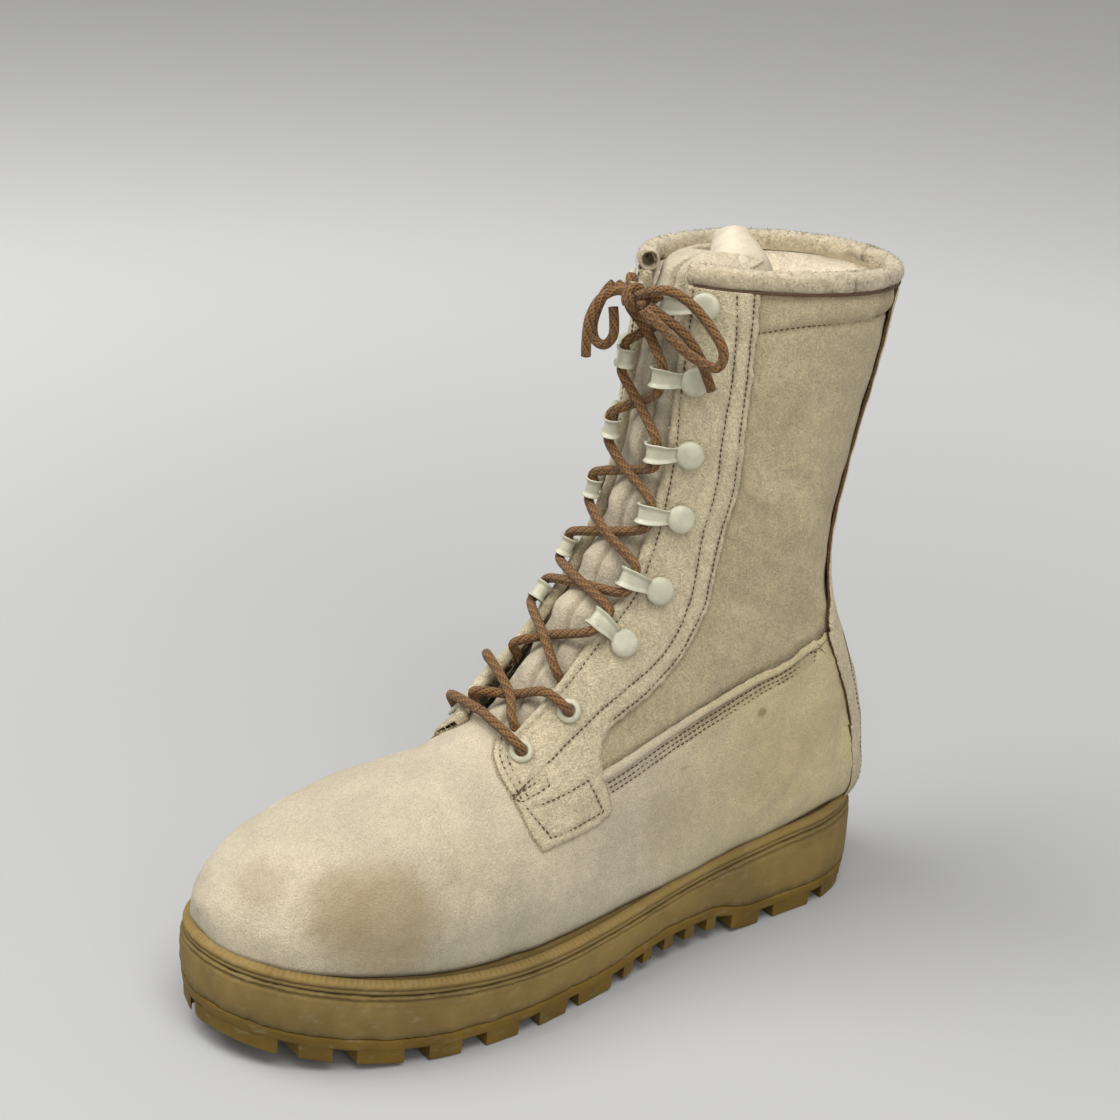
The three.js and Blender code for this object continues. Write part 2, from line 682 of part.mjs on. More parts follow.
function makeBackstay() {
  const half = (row) => smoothRow(BACKSTAY, "turn", rowWhere(BACKSTAY, "row", row));
  return overlayOf(steps(BACKSTAY[0].row, COLLAR_ROW, 15), (row) => -half(row), half).subtract(belowFeather(GAP));
}
addPiece("backstay", geometryFrom(makeBackstay()), suedeEdge);

// ---- Tongue -------------------------------------------------------------------------------------------
// How deep the tongue lies under the face, by section row.
const TONGUE = [
  { row: THROAT_FOOT - 0.5, depth: WALL + 1.5 },
  { row: 16, depth: WALL + 1.3 },
  { row: COLLAR_ROW, depth: 6.6 },
];
const TONGUE_HALF_WIDTH = 27;
// Its free top, across from the outer edge to the inner edge: how far each place rises and leans back.
const TONGUE_TOP = [
  { rise: 5, lean: 24 },
  { rise: 8, lean: 20 },
  { rise: 13, lean: 17 },
  { rise: 16, lean: 16 },
  { rise: 14, lean: 18 },
];

function makeTongue() {
  const columns = 8;
  const grid = (below) => {
    const rows = steps(THROAT_FOOT - 0.5, COLLAR_ROW, 15).map((row) => {
      const depth = smoothRow(TONGUE, "depth", rowWhere(TONGUE, "row", row)) + below;
      const turns = [1, -1].map((side) => turnAtWidth(row, TONGUE_HALF_WIDTH, side));
      return steps(turns[0], turns[1], columns).map((turn) => offFace(row, turn, -depth));
    });
    const rim = rows[rows.length - 1];
    for (const share of [0.35, 0.7, 1]) {
      rows.push(
        rim.map((p, i) => {
          const at = (i / columns) * (TONGUE_TOP.length - 1);
          const rise = smoothRow(TONGUE_TOP, "rise", at) * share;
          return p.clone().add(new THREE.Vector3(-smoothRow(TONGUE_TOP, "lean", at) * share ** 2, 0, rise));
        }),
      );
    }
    return rows;
  };
  return sheetOf(grid(0), grid(TONGUE_THICKNESS));
}
addPiece("tongue", makeTongue(), suede);

// ---- Collar roll --------------------------------------------------------------------------------------
function makeCollarRoll() {
  const inside = 1.5; // kept back from the throat's edge
  const turns = [1, -1].map((side) => turnAtWidth(COLLAR_ROW, throatEdge(COLLAR_ROW, side) + inside, side));
  const rings = steps(turns[0], turns[1] - 1, 24).map((turn) => {
    const middle = offFace(COLLAR_ROW, turn, -WALL / 2);
    const out = faceNormal(COLLAR_ROW, turn).setZ(0).normalize();
    return steps(0, 2 * Math.PI * (7 / 8), 7).map((angle) => {
      const up = (ROLL_HEIGHT / 2) * (Math.sin(angle) + 1) + GAP;
      const place = middle.clone().addScaledVector(out, (ROLL_WIDTH / 2) * Math.cos(angle));
      return place.setZ(facePoint(COLLAR_ROW, turn).z + up);
    });
  });
  return loftOf(rings);
}
addPiece("collar_roll", makeCollarRoll(), lining);

// ---- Eyelets and hooks --------------------------------------------------------------------------------
const OVER_FACING = GAP + OVERLAY + GAP;

function eyeletGeometry() {
  const { flange, bore, barrel, crown, proud } = EYELET;
  const through = OVER_FACING + proud + WALL * 0.7;
  const profile = [
    [bore, -through],
    [barrel, -through],
    [barrel, 0],
    [flange, 0],
    [flange - 0.4, crown * 0.7],
    [barrel, crown],
    [bore, crown * 0.4],
    [bore, -through],
  ].map(([radius, height]) => new THREE.Vector2(radius, height));
  return new THREE.LatheGeometry(profile, 10).rotateX(Math.PI / 2);
}

/** A lace hook: a riveted cap on the facing, and a strap that rises to the throat and curls under. */
function hookGeometry() {
  const { disc, cap, width, strap, curl, dip, reach } = HOOK;
  const bend = reach - curl - strap; // the curl's middle
  const rise = 2 * curl + strap - dip; // from the strap's foot to its top over the lace
  const profile = new THREE.Shape();
  profile.moveTo(-disc * 0.6, 0).lineTo(disc * 0.8, 0).lineTo(bend - 6, rise - strap);
  profile.lineTo(bend, rise - strap);
  profile.absarc(bend, curl - dip, curl, Math.PI / 2, -Math.PI / 2, true);
  profile.lineTo(bend - 1, -dip).lineTo(bend - 1, -strap - dip).lineTo(bend, -strap - dip);
  profile.absarc(bend, curl - dip, curl + strap, -Math.PI / 2, Math.PI / 2, false);
  profile.lineTo(bend - 6.5, rise).lineTo(disc * 0.8, strap).lineTo(-disc * 0.6, strap).closePath();
  const bent = new THREE.ExtrudeGeometry(profile, { depth: width, bevelEnabled: false, curveSegments: 2 });
  bent.translate(0, 0, -width / 2).rotateX(Math.PI / 2);
  const head = new THREE.CylinderGeometry(disc - 0.5, disc, cap, 10).rotateX(Math.PI / 2);
  head.translate(0, 0, cap / 2);
  return geometryFrom(solidOf(bent).add(solidOf(head)));
}

const eyeletShape = eyeletGeometry();
const hookShape = hookGeometry();
for (const [side, word] of [[1, "outer"], [-1, "inner"]]) {
  EYELET_ROWS.forEach((row, i) => {
    const piece = addPiece(`eyelet_${word}_${i + 1}`, eyeletShape, enamel);
    piece.applyMatrix4(fittingFrame(row, side, EYELET.fromEdge, OVER_FACING + EYELET.proud));
  });
  HOOK_ROWS.forEach((row, i) => {
    const piece = addPiece(`hook_${word}_${i + 1}`, hookShape, enamel);
    piece.applyMatrix4(fittingFrame(row, side, HOOK.fromEdge, OVER_FACING + HOOK.proud));
  });
}

// ---- Lace ---------------------------------------------------------------------------------------------
// Two strands cross between each pair of rows. Their ends stop beside the hooks, and at the throat's edge
// beside the eyelets, where the lace goes under.
const BESIDE_HOOK = HOOK.width / 2 + LACE_RADIUS + 1.2;

/** Where a strand meets a hook: above it (+1) or below it (-1) along the throat. */
function atHook(row, side, above) {
  const frame = fittingFrame(row, side, HOOK.fromEdge, OVER_FACING + HOOK.proud);
  const up = -above * side * BESIDE_HOOK;
  const along = HOOK.reach - HOOK.curl - HOOK.strap + 0.8;
  return new THREE.Vector3(along, up, HOOK.curl + 1.6).applyMatrix4(frame);
}

/** A place on one side of the throat: a width from the centre plane, and a height off the face. */
function besideThroat(row, side, width, height) {
  return offFace(row, turnAtWidth(row, width, side), height);
}

/** A strand between two places that passes the middle of the throat at a height off the face's ridge. */
function strandOf(from, to, height) {
  const row = rowNear(from.clone().lerp(to, 0.5));
  return solidOf(cordOf([from, offFace(row, 0.5, height), to], 3));
}

/** The section row whose ridge is nearest a place. */
function rowNear(place) {
  const rows = steps(THROAT_FOOT, COLLAR_ROW, 60);
  return rows.reduce((best, row) => {
    const apart = (at) => facePoint(at, 0.5).distanceTo(place);
    return apart(row) < apart(best) ? row : best;
  });
}

function addCrossing(number, leave, arrive) {
  const crossing = strandOf(leave(1), arrive(-1), 1.4).add(strandOf(leave(-1), arrive(1), -0.8));
  addPiece(`lace_crossing_${number}`, geometryFrom(crossing), laceCord);
}

const underEdge = (row) => (side) => besideThroat(row, side, throatEdge(row, side) - 3.6, 2);
const overEyelet = (row) => (side) => besideThroat(row, side, throatEdge(row, side) - 1, 5.2);
const beside = (row, above) => (side) => atHook(row, side, above);
const EYE_WIDTH = EYELET.fromEdge * 0.85;
const barEnd = (side) => besideThroat(7.18, side, throatEdge(7.2, side) + EYE_WIDTH - 5, 6.4);
addPiece("lace_bar", geometryFrom(strandOf(barEnd(1), barEnd(-1), 3.6)), laceCord);
addCrossing(1, underEdge(7.42), overEyelet(8.02));
addCrossing(2, underEdge(8.32), beside(HOOK_ROWS[0], -1));
HOOK_ROWS.slice(1).forEach((row, i) => addCrossing(i + 3, beside(HOOK_ROWS[i], 1), beside(row, -1)));

// The bow: places from the heel's back, the middle of the foot and the floor.
const BOW = {
  lace_knot: [[125, 0.5, 263.5], [127.5, -2, 266.5], [126.5, 1, 270], [124, 5, 268], [124, 4.5, 264]],
  lace_loop_outer: [
    [126.5, 12.5, 270.5], [124.5, 20.5, 272.5], [120.5, 26.5, 270], [116, 32, 264], [112.5, 38.5, 255.5],
    [112, 39.7, 250.5], [114, 38.5, 247], [119.5, 33.5, 249.5], [124.5, 28, 254.5], [128.5, 22, 260.5],
    [131, 15.5, 264.5],
  ],
  lace_end_outer: [
    [126.5, 12.5, 265], [124, 18, 262], [119.5, 24, 257.5], [115.5, 28.8, 250.5], [113, 31.5, 243],
    [111, 33.5, 236.5],
  ],
  lace_loop_inner: [
    [128, -8, 269], [130, -10, 265.5], [132, -12, 258.5], [132.5, -13.5, 251.5], [132, -12, 246.5],
    [130.5, -8, 245.5], [129.4, -4.6, 249.5], [129, -4.8, 254.5], [129.2, -5.8, 260.5],
  ],
  lace_end_inner: [
    [133, -4.5, 266.5], [136, -6.5, 263], [138.5, -7.5, 257], [139, -8, 250], [138.5, -8.5, 242],
  ],
};
for (const [name, places] of Object.entries(BOW)) {
  const points = places.map(([x, y, z]) => new THREE.Vector3(x - MID_X, y, z));
  const length = new THREE.CatmullRomCurve3(points).getLength();
  addPiece(name, cordOf(points, Math.ceil(length / (2.2 * 2 * LACE_RADIUS))), laceCord);
}

for (const piece of boot.children) piece.position.y -= MID_Y;

export default boot;
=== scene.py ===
"""Looks of a left combat boot: suede upper, laced throat with a bow, padded collar and lugged sole.

Sizes are millimetres from the sole's heel, the shaft's centre plane and the floor, until a mesh is made.
"""

import math

import bpy
import numpy as np
from mathutils import Matrix, Vector


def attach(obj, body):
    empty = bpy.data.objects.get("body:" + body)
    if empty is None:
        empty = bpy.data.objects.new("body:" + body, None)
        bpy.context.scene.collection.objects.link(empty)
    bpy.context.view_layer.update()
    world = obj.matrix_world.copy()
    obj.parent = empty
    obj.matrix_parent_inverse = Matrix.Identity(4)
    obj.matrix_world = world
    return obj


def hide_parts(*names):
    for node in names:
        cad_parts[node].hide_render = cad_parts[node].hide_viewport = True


bl_info = {
    "name": "Combat boot looks",
    "version": (1, 0, 0),
    "blender": (4, 5, 0),
    "location": "View3D > Sidebar > Boot",
    "description": "Builds the detailed pieces of a left combat boot round its packed frame",
    "category": "Object",
}

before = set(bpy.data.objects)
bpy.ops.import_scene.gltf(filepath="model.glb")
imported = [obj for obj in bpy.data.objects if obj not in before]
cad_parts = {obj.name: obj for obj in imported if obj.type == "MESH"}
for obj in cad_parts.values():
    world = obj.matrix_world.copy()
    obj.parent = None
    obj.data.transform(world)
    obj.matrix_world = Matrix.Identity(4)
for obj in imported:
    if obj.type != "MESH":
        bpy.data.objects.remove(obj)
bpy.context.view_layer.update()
ORIGIN = np.array([149.45, 1.44, 0.0])  # the row frame's origin
RANDOM = np.random.default_rng(7)


# ---- Sizes and colours a user would change ----------------------------------------------------------


def length(name, default, description):
    return bpy.props.FloatProperty(name=name, default=default, description=description, unit="LENGTH")


def colour(name, default, description):
    return bpy.props.FloatVectorProperty(
        name=name, default=default, description=description, subtype="COLOR", size=3, min=0, max=1
    )


class BootSizes(bpy.types.PropertyGroup):
    leather: length("Leather", 0.0018, "Thickness of a facing or backstay")
    lace: length("Lace", 0.0038, "Diameter of the round lace")
    stitch: length("Stitch", 0.0016, "Length of one stitch")
    stitch_gap: length("Stitch gap", 0.0006, "Gap between two stitches")
    thread: length("Thread", 0.0006, "Diameter of the sewing thread")
    nap: length("Nap", 0.0009, "Size of the suede's grain")
    fray: length("Fray", 0.0011, "Length of the fibres on a raw edge")
    knurl: length("Knurl", 0.0023, "Pitch of the ridges on the sole's rim")


class BootColours(bpy.types.PropertyGroup):
    suede: colour("Suede", (0.59, 0.505, 0.355), "Tan rough side of the leather")
    suede_rough: colour("Coarse suede", (0.53, 0.44, 0.262), "Shaft, which is hairier")
    facing: colour("Facing", (0.66, 0.56, 0.365), "Facings and backstay")
    # Brown of the stains, also used darker as painted shade in the hollows and inside the roll's open ends
    soil: colour("Soil", (0.27, 0.195, 0.085), "Brown stains")
    grime: colour("Grime", (0.30, 0.28, 0.19), "Grey-green dirt")
    lining: colour("Lining", (0.90, 0.80, 0.62), "Fleece inside the shaft")
    roll: colour("Roll", (0.57, 0.475, 0.31), "Fleece on the collar's roll")
    grain: colour("Grain side", (0.56, 0.49, 0.37), "Smooth side of the tongue's leather")
    raw_edge: colour("Raw edge", (0.13, 0.075, 0.035), "Cut edge of the backstay")
    rubber: colour("Rubber", (0.165, 0.095, 0.008), "Outsole")
    midsole: colour("Midsole", (0.195, 0.13, 0.038), "Midsole and rim")
    enamel: colour("Enamel", (0.48, 0.46, 0.335), "Hooks and eyelets")
    lace: colour("Lace", (0.235, 0.118, 0.038), "Lace")
    # Dark strands of the lace, also used as painted shade between the strands
    lace_dark: colour("Lace, dark", (0.055, 0.022, 0.008), "Dark strands of the lace")
    thread: colour("Thread", (0.085, 0.05, 0.028), "Sewing thread")


# ---- The last ---------------------------------------------------------------------------------------
# Sections of the upper's face from toe to collar. Each runs from its low or back end to its high or
# front end, in a plane that leans from upright to level.
SECTION_COLUMNS = (
    "low_x", "low_z", "high_x", "high_z", "centre", "outer", "inner", "widest", "low_power", "high_power",
)
SECTION_ROWS = [
    (299.5, 50, 299.5, 54, -7, -5, -9, 0.5, 2, 2),
    (298, 43.5, 297.5, 57, -6, 8, -18, 0.45, 3, 2.1),
    (291.5, 42, 290, 64.5, -5, 21, -27.5, 0.42, 3.4, 2.05),
    (277, 39.6, 275, 74, -4, 35, -37.5, 0.4, 3.8, 2.0),
    (254, 36.2, 253, 82.5, -2, 45, -44.5, 0.38, 4.2, 1.95),
    (227, 33, 228, 89, -1.5, 50.5, -48.5, 0.36, 4.4, 1.9),
    (198, 30.7, 204, 93, 0, 50.5, -45, 0.34, 4.4, 1.9),
    (165, 30, 184, 101.5, 0, 46.5, -39.5, 0.32, 4.4, 1.9),
    (128, 33, 165, 119.5, 0, 41, -36, 0.32, 4.4, 2.05),
    (88, 37.5, 147, 146, 0, 37, -35, 0.34, 4.4, 2.25),
    (50, 41, 134.5, 164, 0, 36, -36, 0.36, 4, 2.35),
    (20, 43, 128.5, 177.5, 0, 36, -36, 0.37, 3, 2.4),
    (2.5, 40, 124.5, 189, 0, 36, -36, 0.38, 2.6, 2.3),
    (-1, 60, 121.5, 200.5, 0, 36.5, -36.5, 0.4, 2.4, 2.2),
    (4, 82, 119.5, 211.5, 0, 37, -37, 0.41, 2.3, 2.15),
    (14.5, 105, 118, 222, 0, 37.5, -37.5, 0.42, 2.2, 2.1),
    (25, 129, 117, 232, 0, 38, -38, 0.43, 2.15, 2.05),
    (28, 157, 116.2, 242.5, 0, 38.5, -38.5, 0.43, 2.1, 2),
    (21.5, 196, 115.6, 252, 0, 39, -39, 0.43, 2.1, 1.95),
    (12, 234, 115.3, 262, 0, 39.5, -39.5, 0.43, 2.1, 1.9),
    (6, 266, 115.3, 272, 0, 40, -39, 0.43, 2.1, 1.85),
]
SECTIONS = dict(zip(SECTION_COLUMNS, np.array(SECTION_ROWS, float).T))
COLLAR_ROW = len(SECTION_ROWS) - 1
HEEL_ROW = 11
SUNK = 8.0  # how far the face runs down behind the sole's rim

# The throat's edges from the centre plane, by section row.
THROAT = {
    "row": (7, 7.2, 8.1, 9.2, 10.4, 12.6, 14.75, 17.15, 20),
    "outer": (8.5, 12.5, 14.5, 16.5, 16.5, 14.5, 14.5, 14, 13),
    "inner": (8.5, 12, 14, 17, 16.5, 13, 10.5, 8.5, 8),
}
SIDE_NAMES = {1: "outer", -1: "inner"}
THROAT_FOOT = 7.0
EYELET_ROWS = (7.2, 8.1)
HOOK_ROWS = (9.2, 10.4, 12.6, 14.75, 17.15, 19.45)
EYELET_FROM_EDGE = 9.0
HOOK_FROM_EDGE = 8.0
OVER_FACING = 2.4


def unit(vectors):
    return vectors / np.linalg.norm(vectors, axis=-1, keepdims=True)


def walked_along(line):
    """How far along a line each of its points is."""
    return np.concatenate([[0], np.cumsum(np.linalg.norm(np.diff(line, axis=0), axis=1))])


def smooth_value(values, at):
    """A smooth value at fractional places of a list."""
    values = np.asarray(values, float)
    last = len(values) - 1
    place = np.clip(at, 0, last)
    i = np.minimum(place.astype(int), last - 1)
    t = place - i
    a, b, c, d = (values[np.clip(i + k, 0, last)] for k in (-1, 0, 1, 2))
    slope_b = np.where(i > 0, (c - a) / 2, c - b)
    slope_c = np.where(i < last - 1, (d - b) / 2, c - b)
    t2, t3 = t * t, t * t * t
    ends = b * (2 * t3 - 3 * t2 + 1) + c * (3 * t2 - 2 * t3)
    return ends + slope_b * (t3 - 2 * t2 + t) + slope_c * (t3 - t2)


def smooth_along(xs, values, at):
    """A smooth value of a table whose first column rises unevenly."""
    fine = np.linspace(0, len(xs) - 1, 40 * len(xs))
    return np.interp(at, smooth_value(xs, fine), smooth_value(values, fine))


def smoothstep(value, low, high):
    t = np.clip((np.asarray(value, float) - low) / (high - low), 0, 1)
    return t * t * (3 - 2 * t)


def face(row, turn):
    """Points of the upper's face: row along the sections, turn round from the low end by the outer side."""
    row, turn = np.broadcast_arrays(np.asarray(row, float), np.asarray(turn, float))
    at = {name: smooth_value(values, row) for name, values in SECTIONS.items()}
    low = np.stack([at["low_x"], at["low_z"]], -1)
    high = np.stack([at["high_x"], at["high_z"]], -1)
    along = unit(high - low)
    sunk = SUNK * smoothstep(HEEL_ROW + 1 - row, 0, 1) * smoothstep(row, 0, 1)
    low = low - along * sunk[..., None]
    size = np.linalg.norm(high - low, axis=-1)
    angle = 2 * np.pi * turn
    towards, aside = -np.cos(angle), np.sin(angle)
    power = 2 / np.where(towards < 0, at["low_power"], at["high_power"])
    widest = at["widest"] * size
    reach = np.where(towards < 0, widest, size - widest)
    travel = widest + np.sign(towards) * reach * np.abs(towards) ** power
    side = np.where(aside >= 0, at["outer"], at["inner"]) - at["centre"]
    place = low + along * travel[..., None]
    return np.stack([place[..., 0], at["centre"] + side * np.abs(aside) ** power, place[..., 1]], -1)


def face_normal(row, turn):
    row = np.clip(np.asarray(row, float), 0.25, COLLAR_ROW - 0.02)
    along = face(row + 0.02, turn) - face(row - 0.02, turn)
    around = face(row, np.asarray(turn) + 0.004) - face(row, np.asarray(turn) - 0.004)
    return unit(np.cross(along, around))


def off_face(row, turn, height):
    return face(row, turn) + face_normal(row, turn) * np.asarray(height, float)[..., None]


# A quarter coordinate runs from 0 at the low end to 2 at the high end, and is even along the face where
# the turn isn't.
_QUARTERS = np.linspace(0, 2, 2001)


def turn_of(quarter):
    whole = np.floor(quarter)
    part = quarter - whole
    return (whole + part * part * (3 - 2 * part)) / 4


def quarter_of(turn):
    return np.interp(turn, turn_of(_QUARTERS), _QUARTERS)


def throat_edge(row, side):
    return smooth_along(THROAT["row"], THROAT[SIDE_NAMES[side]], row)


def turn_at_width(row, width, side):
    """The turn, as on the outer side, where the face is a width from the centre plane on a side."""
    row, width = np.broadcast_arrays(np.asarray(row, float), np.asarray(width, float))
    low, high = np.full(row.shape, 0.3), np.full(row.shape, 0.5)
    for _ in range(24):
        middle = (low + high) / 2
        turn = middle if side > 0 else 1 - middle
        wider = np.abs(face(row, turn)[..., 1]) > width
        low, high = np.where(wider, middle, low), np.where(wider, high, middle)
    return (low + high) / 2


def throat_turn(row, side, inside=0.0):
    return turn_at_width(row, throat_edge(row, side) + inside, side)


def side_turn(turn, side):
    return turn if side > 0 else 1 - np.asarray(turn)


# ---- The sole's outline -----------------------------------------------------------------------------
SOLE_LENGTH = 305.0
OUTLINE_OUTER = (0, 25, 37.5, 40, 43, 51, 58, 54.5, 41, 20.5, -5)
OUTLINE_INNER = (0, -25, -37, -38, -37, -41, -51, -55, -45, -27, -5)
SOLE_X = (0, 10, 50, 88, 128, 165, 198, 227, 254, 277, 294, 305)
SOLE_TOP = (43.5, 43.4, 41, 37.5, 33, 30, 30.7, 33, 36.2, 39.6, 42.2, 44)
SOLE_TREAD = (2, 0, 0, 0, 0, 0, 0, 0, 2, 5, 8, 10)
LUG_DEPTH = 6.0
OUTSOLE_SLAB = 5.0


def sole_top(x):
    return smooth_along(SOLE_X, SOLE_TOP, np.clip(x, 0, SOLE_LENGTH))


def tread_height(x):
    arch = smoothstep(x, 70, 96) * (1 - smoothstep(x, 116, 160))
    return np.maximum(smooth_along(SOLE_X, SOLE_TREAD, np.clip(x, 0, SOLE_LENGTH)), 0) + 5.4 * arch


def sole_perimeter(count):
    """Evenly spaced points round the sole's outline, and their outward directions, in plan."""
    angle = np.linspace(0, np.pi, 600)
    x = (1 - np.cos(angle)) / 2 * SOLE_LENGTH
    at = angle / np.pi * 10
    outer = np.stack([x, smooth_value(OUTLINE_OUTER, at)], -1)
    inner = np.stack([x, smooth_value(OUTLINE_INNER, at)], -1)[::-1]
    ring = np.concatenate([outer, inner[1:]])[::-1]
    walked = walked_along(ring)
    even = np.linspace(0, walked[-1], count, endpoint=False)
    points = np.stack([np.interp(even, walked, ring[:, k]) for k in (0, 1)], -1)
    ahead = np.roll(points, -2, 0) - np.roll(points, 2, 0)
    out = np.stack([ahead[:, 1], -ahead[:, 0]], -1)
    centre = np.array([SOLE_LENGTH / 2, 0])
    out *= np.sign(((points - centre) * out).sum(1).mean())
    return points, unit(out), even


# ---- Meshes -----------------------------------------------------------------------------------------


def add_mesh(name, points, faces, material, node=None, values=None, uv=None):
    """A piece from points in millimetres. values are numbers per point, for its material."""
    mesh = bpy.data.meshes.new(name)
    places = (np.asarray(points).reshape(-1, 3) - ORIGIN) / 1000
    mesh.from_pydata(places.tolist(), [], [list(f) for f in faces])
    for key, numbers in (values or {}).items():
        attribute = mesh.attributes.new(key, "FLOAT", "POINT")
        attribute.data.foreach_set("value", np.asarray(numbers, np.float32).ravel())
    if uv is not None:
        layer = mesh.uv_layers.new(name="UVMap")
        corner = np.empty(len(mesh.loops), int)
        mesh.loops.foreach_get("vertex_index", corner)
        layer.data.foreach_set("uv", np.asarray(uv, np.float32)[corner].ravel())
    mesh.polygons.foreach_set("use_smooth", [True] * len(mesh.polygons))
    mesh.validate()
    mesh.materials.append(material)
    piece = bpy.data.objects.new(name, mesh)
    bpy.context.collection.objects.link(piece)
    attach(piece, "root")
    if node:
        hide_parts(*([node] if isinstance(node, str) else node))
    return piece


def grid_faces(rows, columns, start=0, flip=False, closed=False):
    i, j = np.meshgrid(np.arange(rows - 1), np.arange(columns if closed else columns - 1), indexing="ij")
    i, j = i.ravel(), j.ravel()
    nxt = (j + 1) % columns
    a, b = i * columns + j, i * columns + nxt
    quads = np.stack([a, b, b + columns, a + columns], 1) + start
    return quads[:, ::-1] if flip else quads


def ring_form(rings, low_end=False, high_end=False):
    """Points and faces of a form of closed rings, with a flat low or high end where asked."""
    rings = np.asarray(rings)
    count, n = rings.shape[:2]
    faces = grid_faces(count, n, closed=True).tolist()
    if low_end:
        faces.append(list(range(n))[::-1])
    if high_end:
        faces.append([(count - 1) * n + i for i in range(n)])
    return rings.reshape(-1, 3), faces


def grid_normals(grid, centre):
    """Unit normals of a grid of points, away from a centre line."""
    out = np.cross(np.gradient(grid, axis=0), np.gradient(grid, axis=1))
    size = np.linalg.norm(out, axis=-1, keepdims=True)
    out = np.divide(out, size, out=np.zeros_like(out), where=size > 1e-9)
    return out * np.sign((out * (grid - centre)).sum(-1).mean())


def rim_of(rows, columns):
    """The indices round the edge of a grid."""
    top = list(range(columns))
    right = [i * columns + columns - 1 for i in range(1, rows)]
    bottom = [(rows - 1) * columns + j for j in range(columns - 2, -1, -1)]
    left = [i * columns for i in range(rows - 2, 0, -1)]
    return top + right + bottom + left


def thick_sheet(front, back):
    """Points and faces of a closed sheet between two grids, with its edge rounded a little."""
    rows, columns = front.shape[:2]
    half = rows * columns
    rim = rim_of(rows, columns)
    f, b = front.reshape(-1, 3), back.reshape(-1, 3)
    middle = (f[rim] + b[rim]) / 2
    ring = np.array(rim)
    i, j = ring // columns, ring % columns
    step_i, step_j = np.clip(i, 1, rows - 2), np.clip(j, 1, columns - 2)
    outward = f[ring] - f[step_i * columns + step_j]
    outward /= np.maximum(np.linalg.norm(outward, axis=1, keepdims=True), 1e-6)
    thick = np.linalg.norm(f[rim] - b[rim], axis=1, keepdims=True)
    middle = middle + outward * thick * 0.18
    points = np.concatenate([f, b, middle])
    faces = [grid_faces(rows, columns), grid_faces(rows, columns, half, flip=True)]
    n = len(rim)
    nxt = np.roll(np.arange(n), -1)
    faces.append(np.stack([ring, 2 * half + np.arange(n), 2 * half + nxt, ring[nxt]], 1))
    faces.append(np.stack([2 * half + np.arange(n), half + ring, half + ring[nxt], 2 * half + nxt], 1))
    faces = np.concatenate(faces)
    edge = np.zeros(len(points))
    edge[2 * half:] = 1
    edge[half + ring] = 1
    a, c, d = (points[faces[:, k]] for k in (0, 1, 2))
    if (a * np.cross(c, d)).sum() < 0:
        faces = faces[:, ::-1]
    return points, faces, edge


def nearest(points, line):
    """How far each point is from the nearest of a line's points."""
    flat = points.reshape(-1, 3)
    low, high = line.min(0) - 14, line.max(0) + 14
    near = np.where(((flat > low) & (flat < high)).all(1))[0]
    result = np.full(len(flat), 99.0)
    for part in np.array_split(near, max(len(near) // 4000, 1)):
        gap = flat[part][:, None, :] - line[None, :, :]
        result[part] = np.sqrt((gap ** 2).sum(-1).min(1))
    return result.reshape(points.shape[:-1])


def nearest_of(points, lines):
    return np.min([nearest(points, line) for line in lines], axis=0)


def even_line(points, pitch):
    """The same line with evenly spaced points."""
    walked = walked_along(points)
    count = max(int(round(walked[-1] / pitch)), 2)
    even = np.linspace(0, walked[-1], count + 1)
    return np.stack([np.interp(even, walked, points[:, k]) for k in range(points.shape[1])], -1)


def smooth_line(points, per_span=10):
    """A smooth line through points."""
    points = np.asarray(points, float)
    at = np.linspace(0, len(points) - 1, per_span * (len(points) - 1) + 1)
    return np.stack([smooth_value(points[:, k], at) for k in range(points.shape[1])], -1)


def trail(places, side=1, height=0.0, pitch=1.0):
    """A line on the face through places given as (row, turn)."""
    at = smooth_line(places, 12)
    turn = side_turn(at[:, 1], side)
    return even_line(off_face(at[:, 0], turn, np.full(len(at), height)), pitch)


def lumps(points, scale, seed):
    """Soft noise between -1 and 1 at points, with lumps of a size in millimetres."""
    rng = np.random.default_rng(seed)
    total = np.zeros(points.shape[:-1])
    for _ in range(7):
        direction = rng.normal(size=3)
        direction *= rng.uniform(0.6, 1.5) / np.linalg.norm(direction)
        total += np.sin(points @ direction * 2 * np.pi / scale + rng.uniform(0, 6.28))
    return total / 3.2


def tube(line, radius, sides=12):
    """A round tube along a line: points, faces and, per point, how far along it and round it is."""
    line = np.asarray(line, float)
    ahead = unit(np.gradient(line, axis=0))
    across = unit(np.cross(ahead[0], [0.3, 0.2, 1.0]))
    walked = walked_along(line)
    angle = np.linspace(0, 2 * np.pi, sides, endpoint=False)
    rings = []
    for here, direction in zip(line, ahead):
        across = unit(across - direction * across.dot(direction))
        up = np.cross(direction, across)
        rings.append(here + radius * (np.cos(angle)[:, None] * across + np.sin(angle)[:, None] * up))
    points = np.concatenate(rings + [line[:1], line[-1:]])
    n = len(line)
    faces = grid_faces(n, sides, closed=True).tolist()
    for j in range(sides):
        k = (j + 1) % sides
        faces.append([n * sides, k, j])
        faces.append([n * sides + 1, (n - 1) * sides + j, (n - 1) * sides + k])
    along = np.concatenate([np.repeat(walked, sides), [0, walked[-1]]])
    around = np.concatenate([np.tile(angle / (2 * np.pi), n), [0, 0]])
    return points, faces, along, around


def joined(parts):
    """Several (points, faces, ...) lists as one, with each further value list appended."""
    points, faces, start = [], [], 0
    extras = [[] for _ in parts[0][2:]]
    for part in parts:
        points.append(part[0])
        faces.extend([int(i) + start for i in f] for f in part[1])
        start += len(part[0])
        for kept, values in zip(extras, part[2:]):
            kept.append(values)
    return (np.concatenate(points), faces, *[np.concatenate(e) for e in extras])


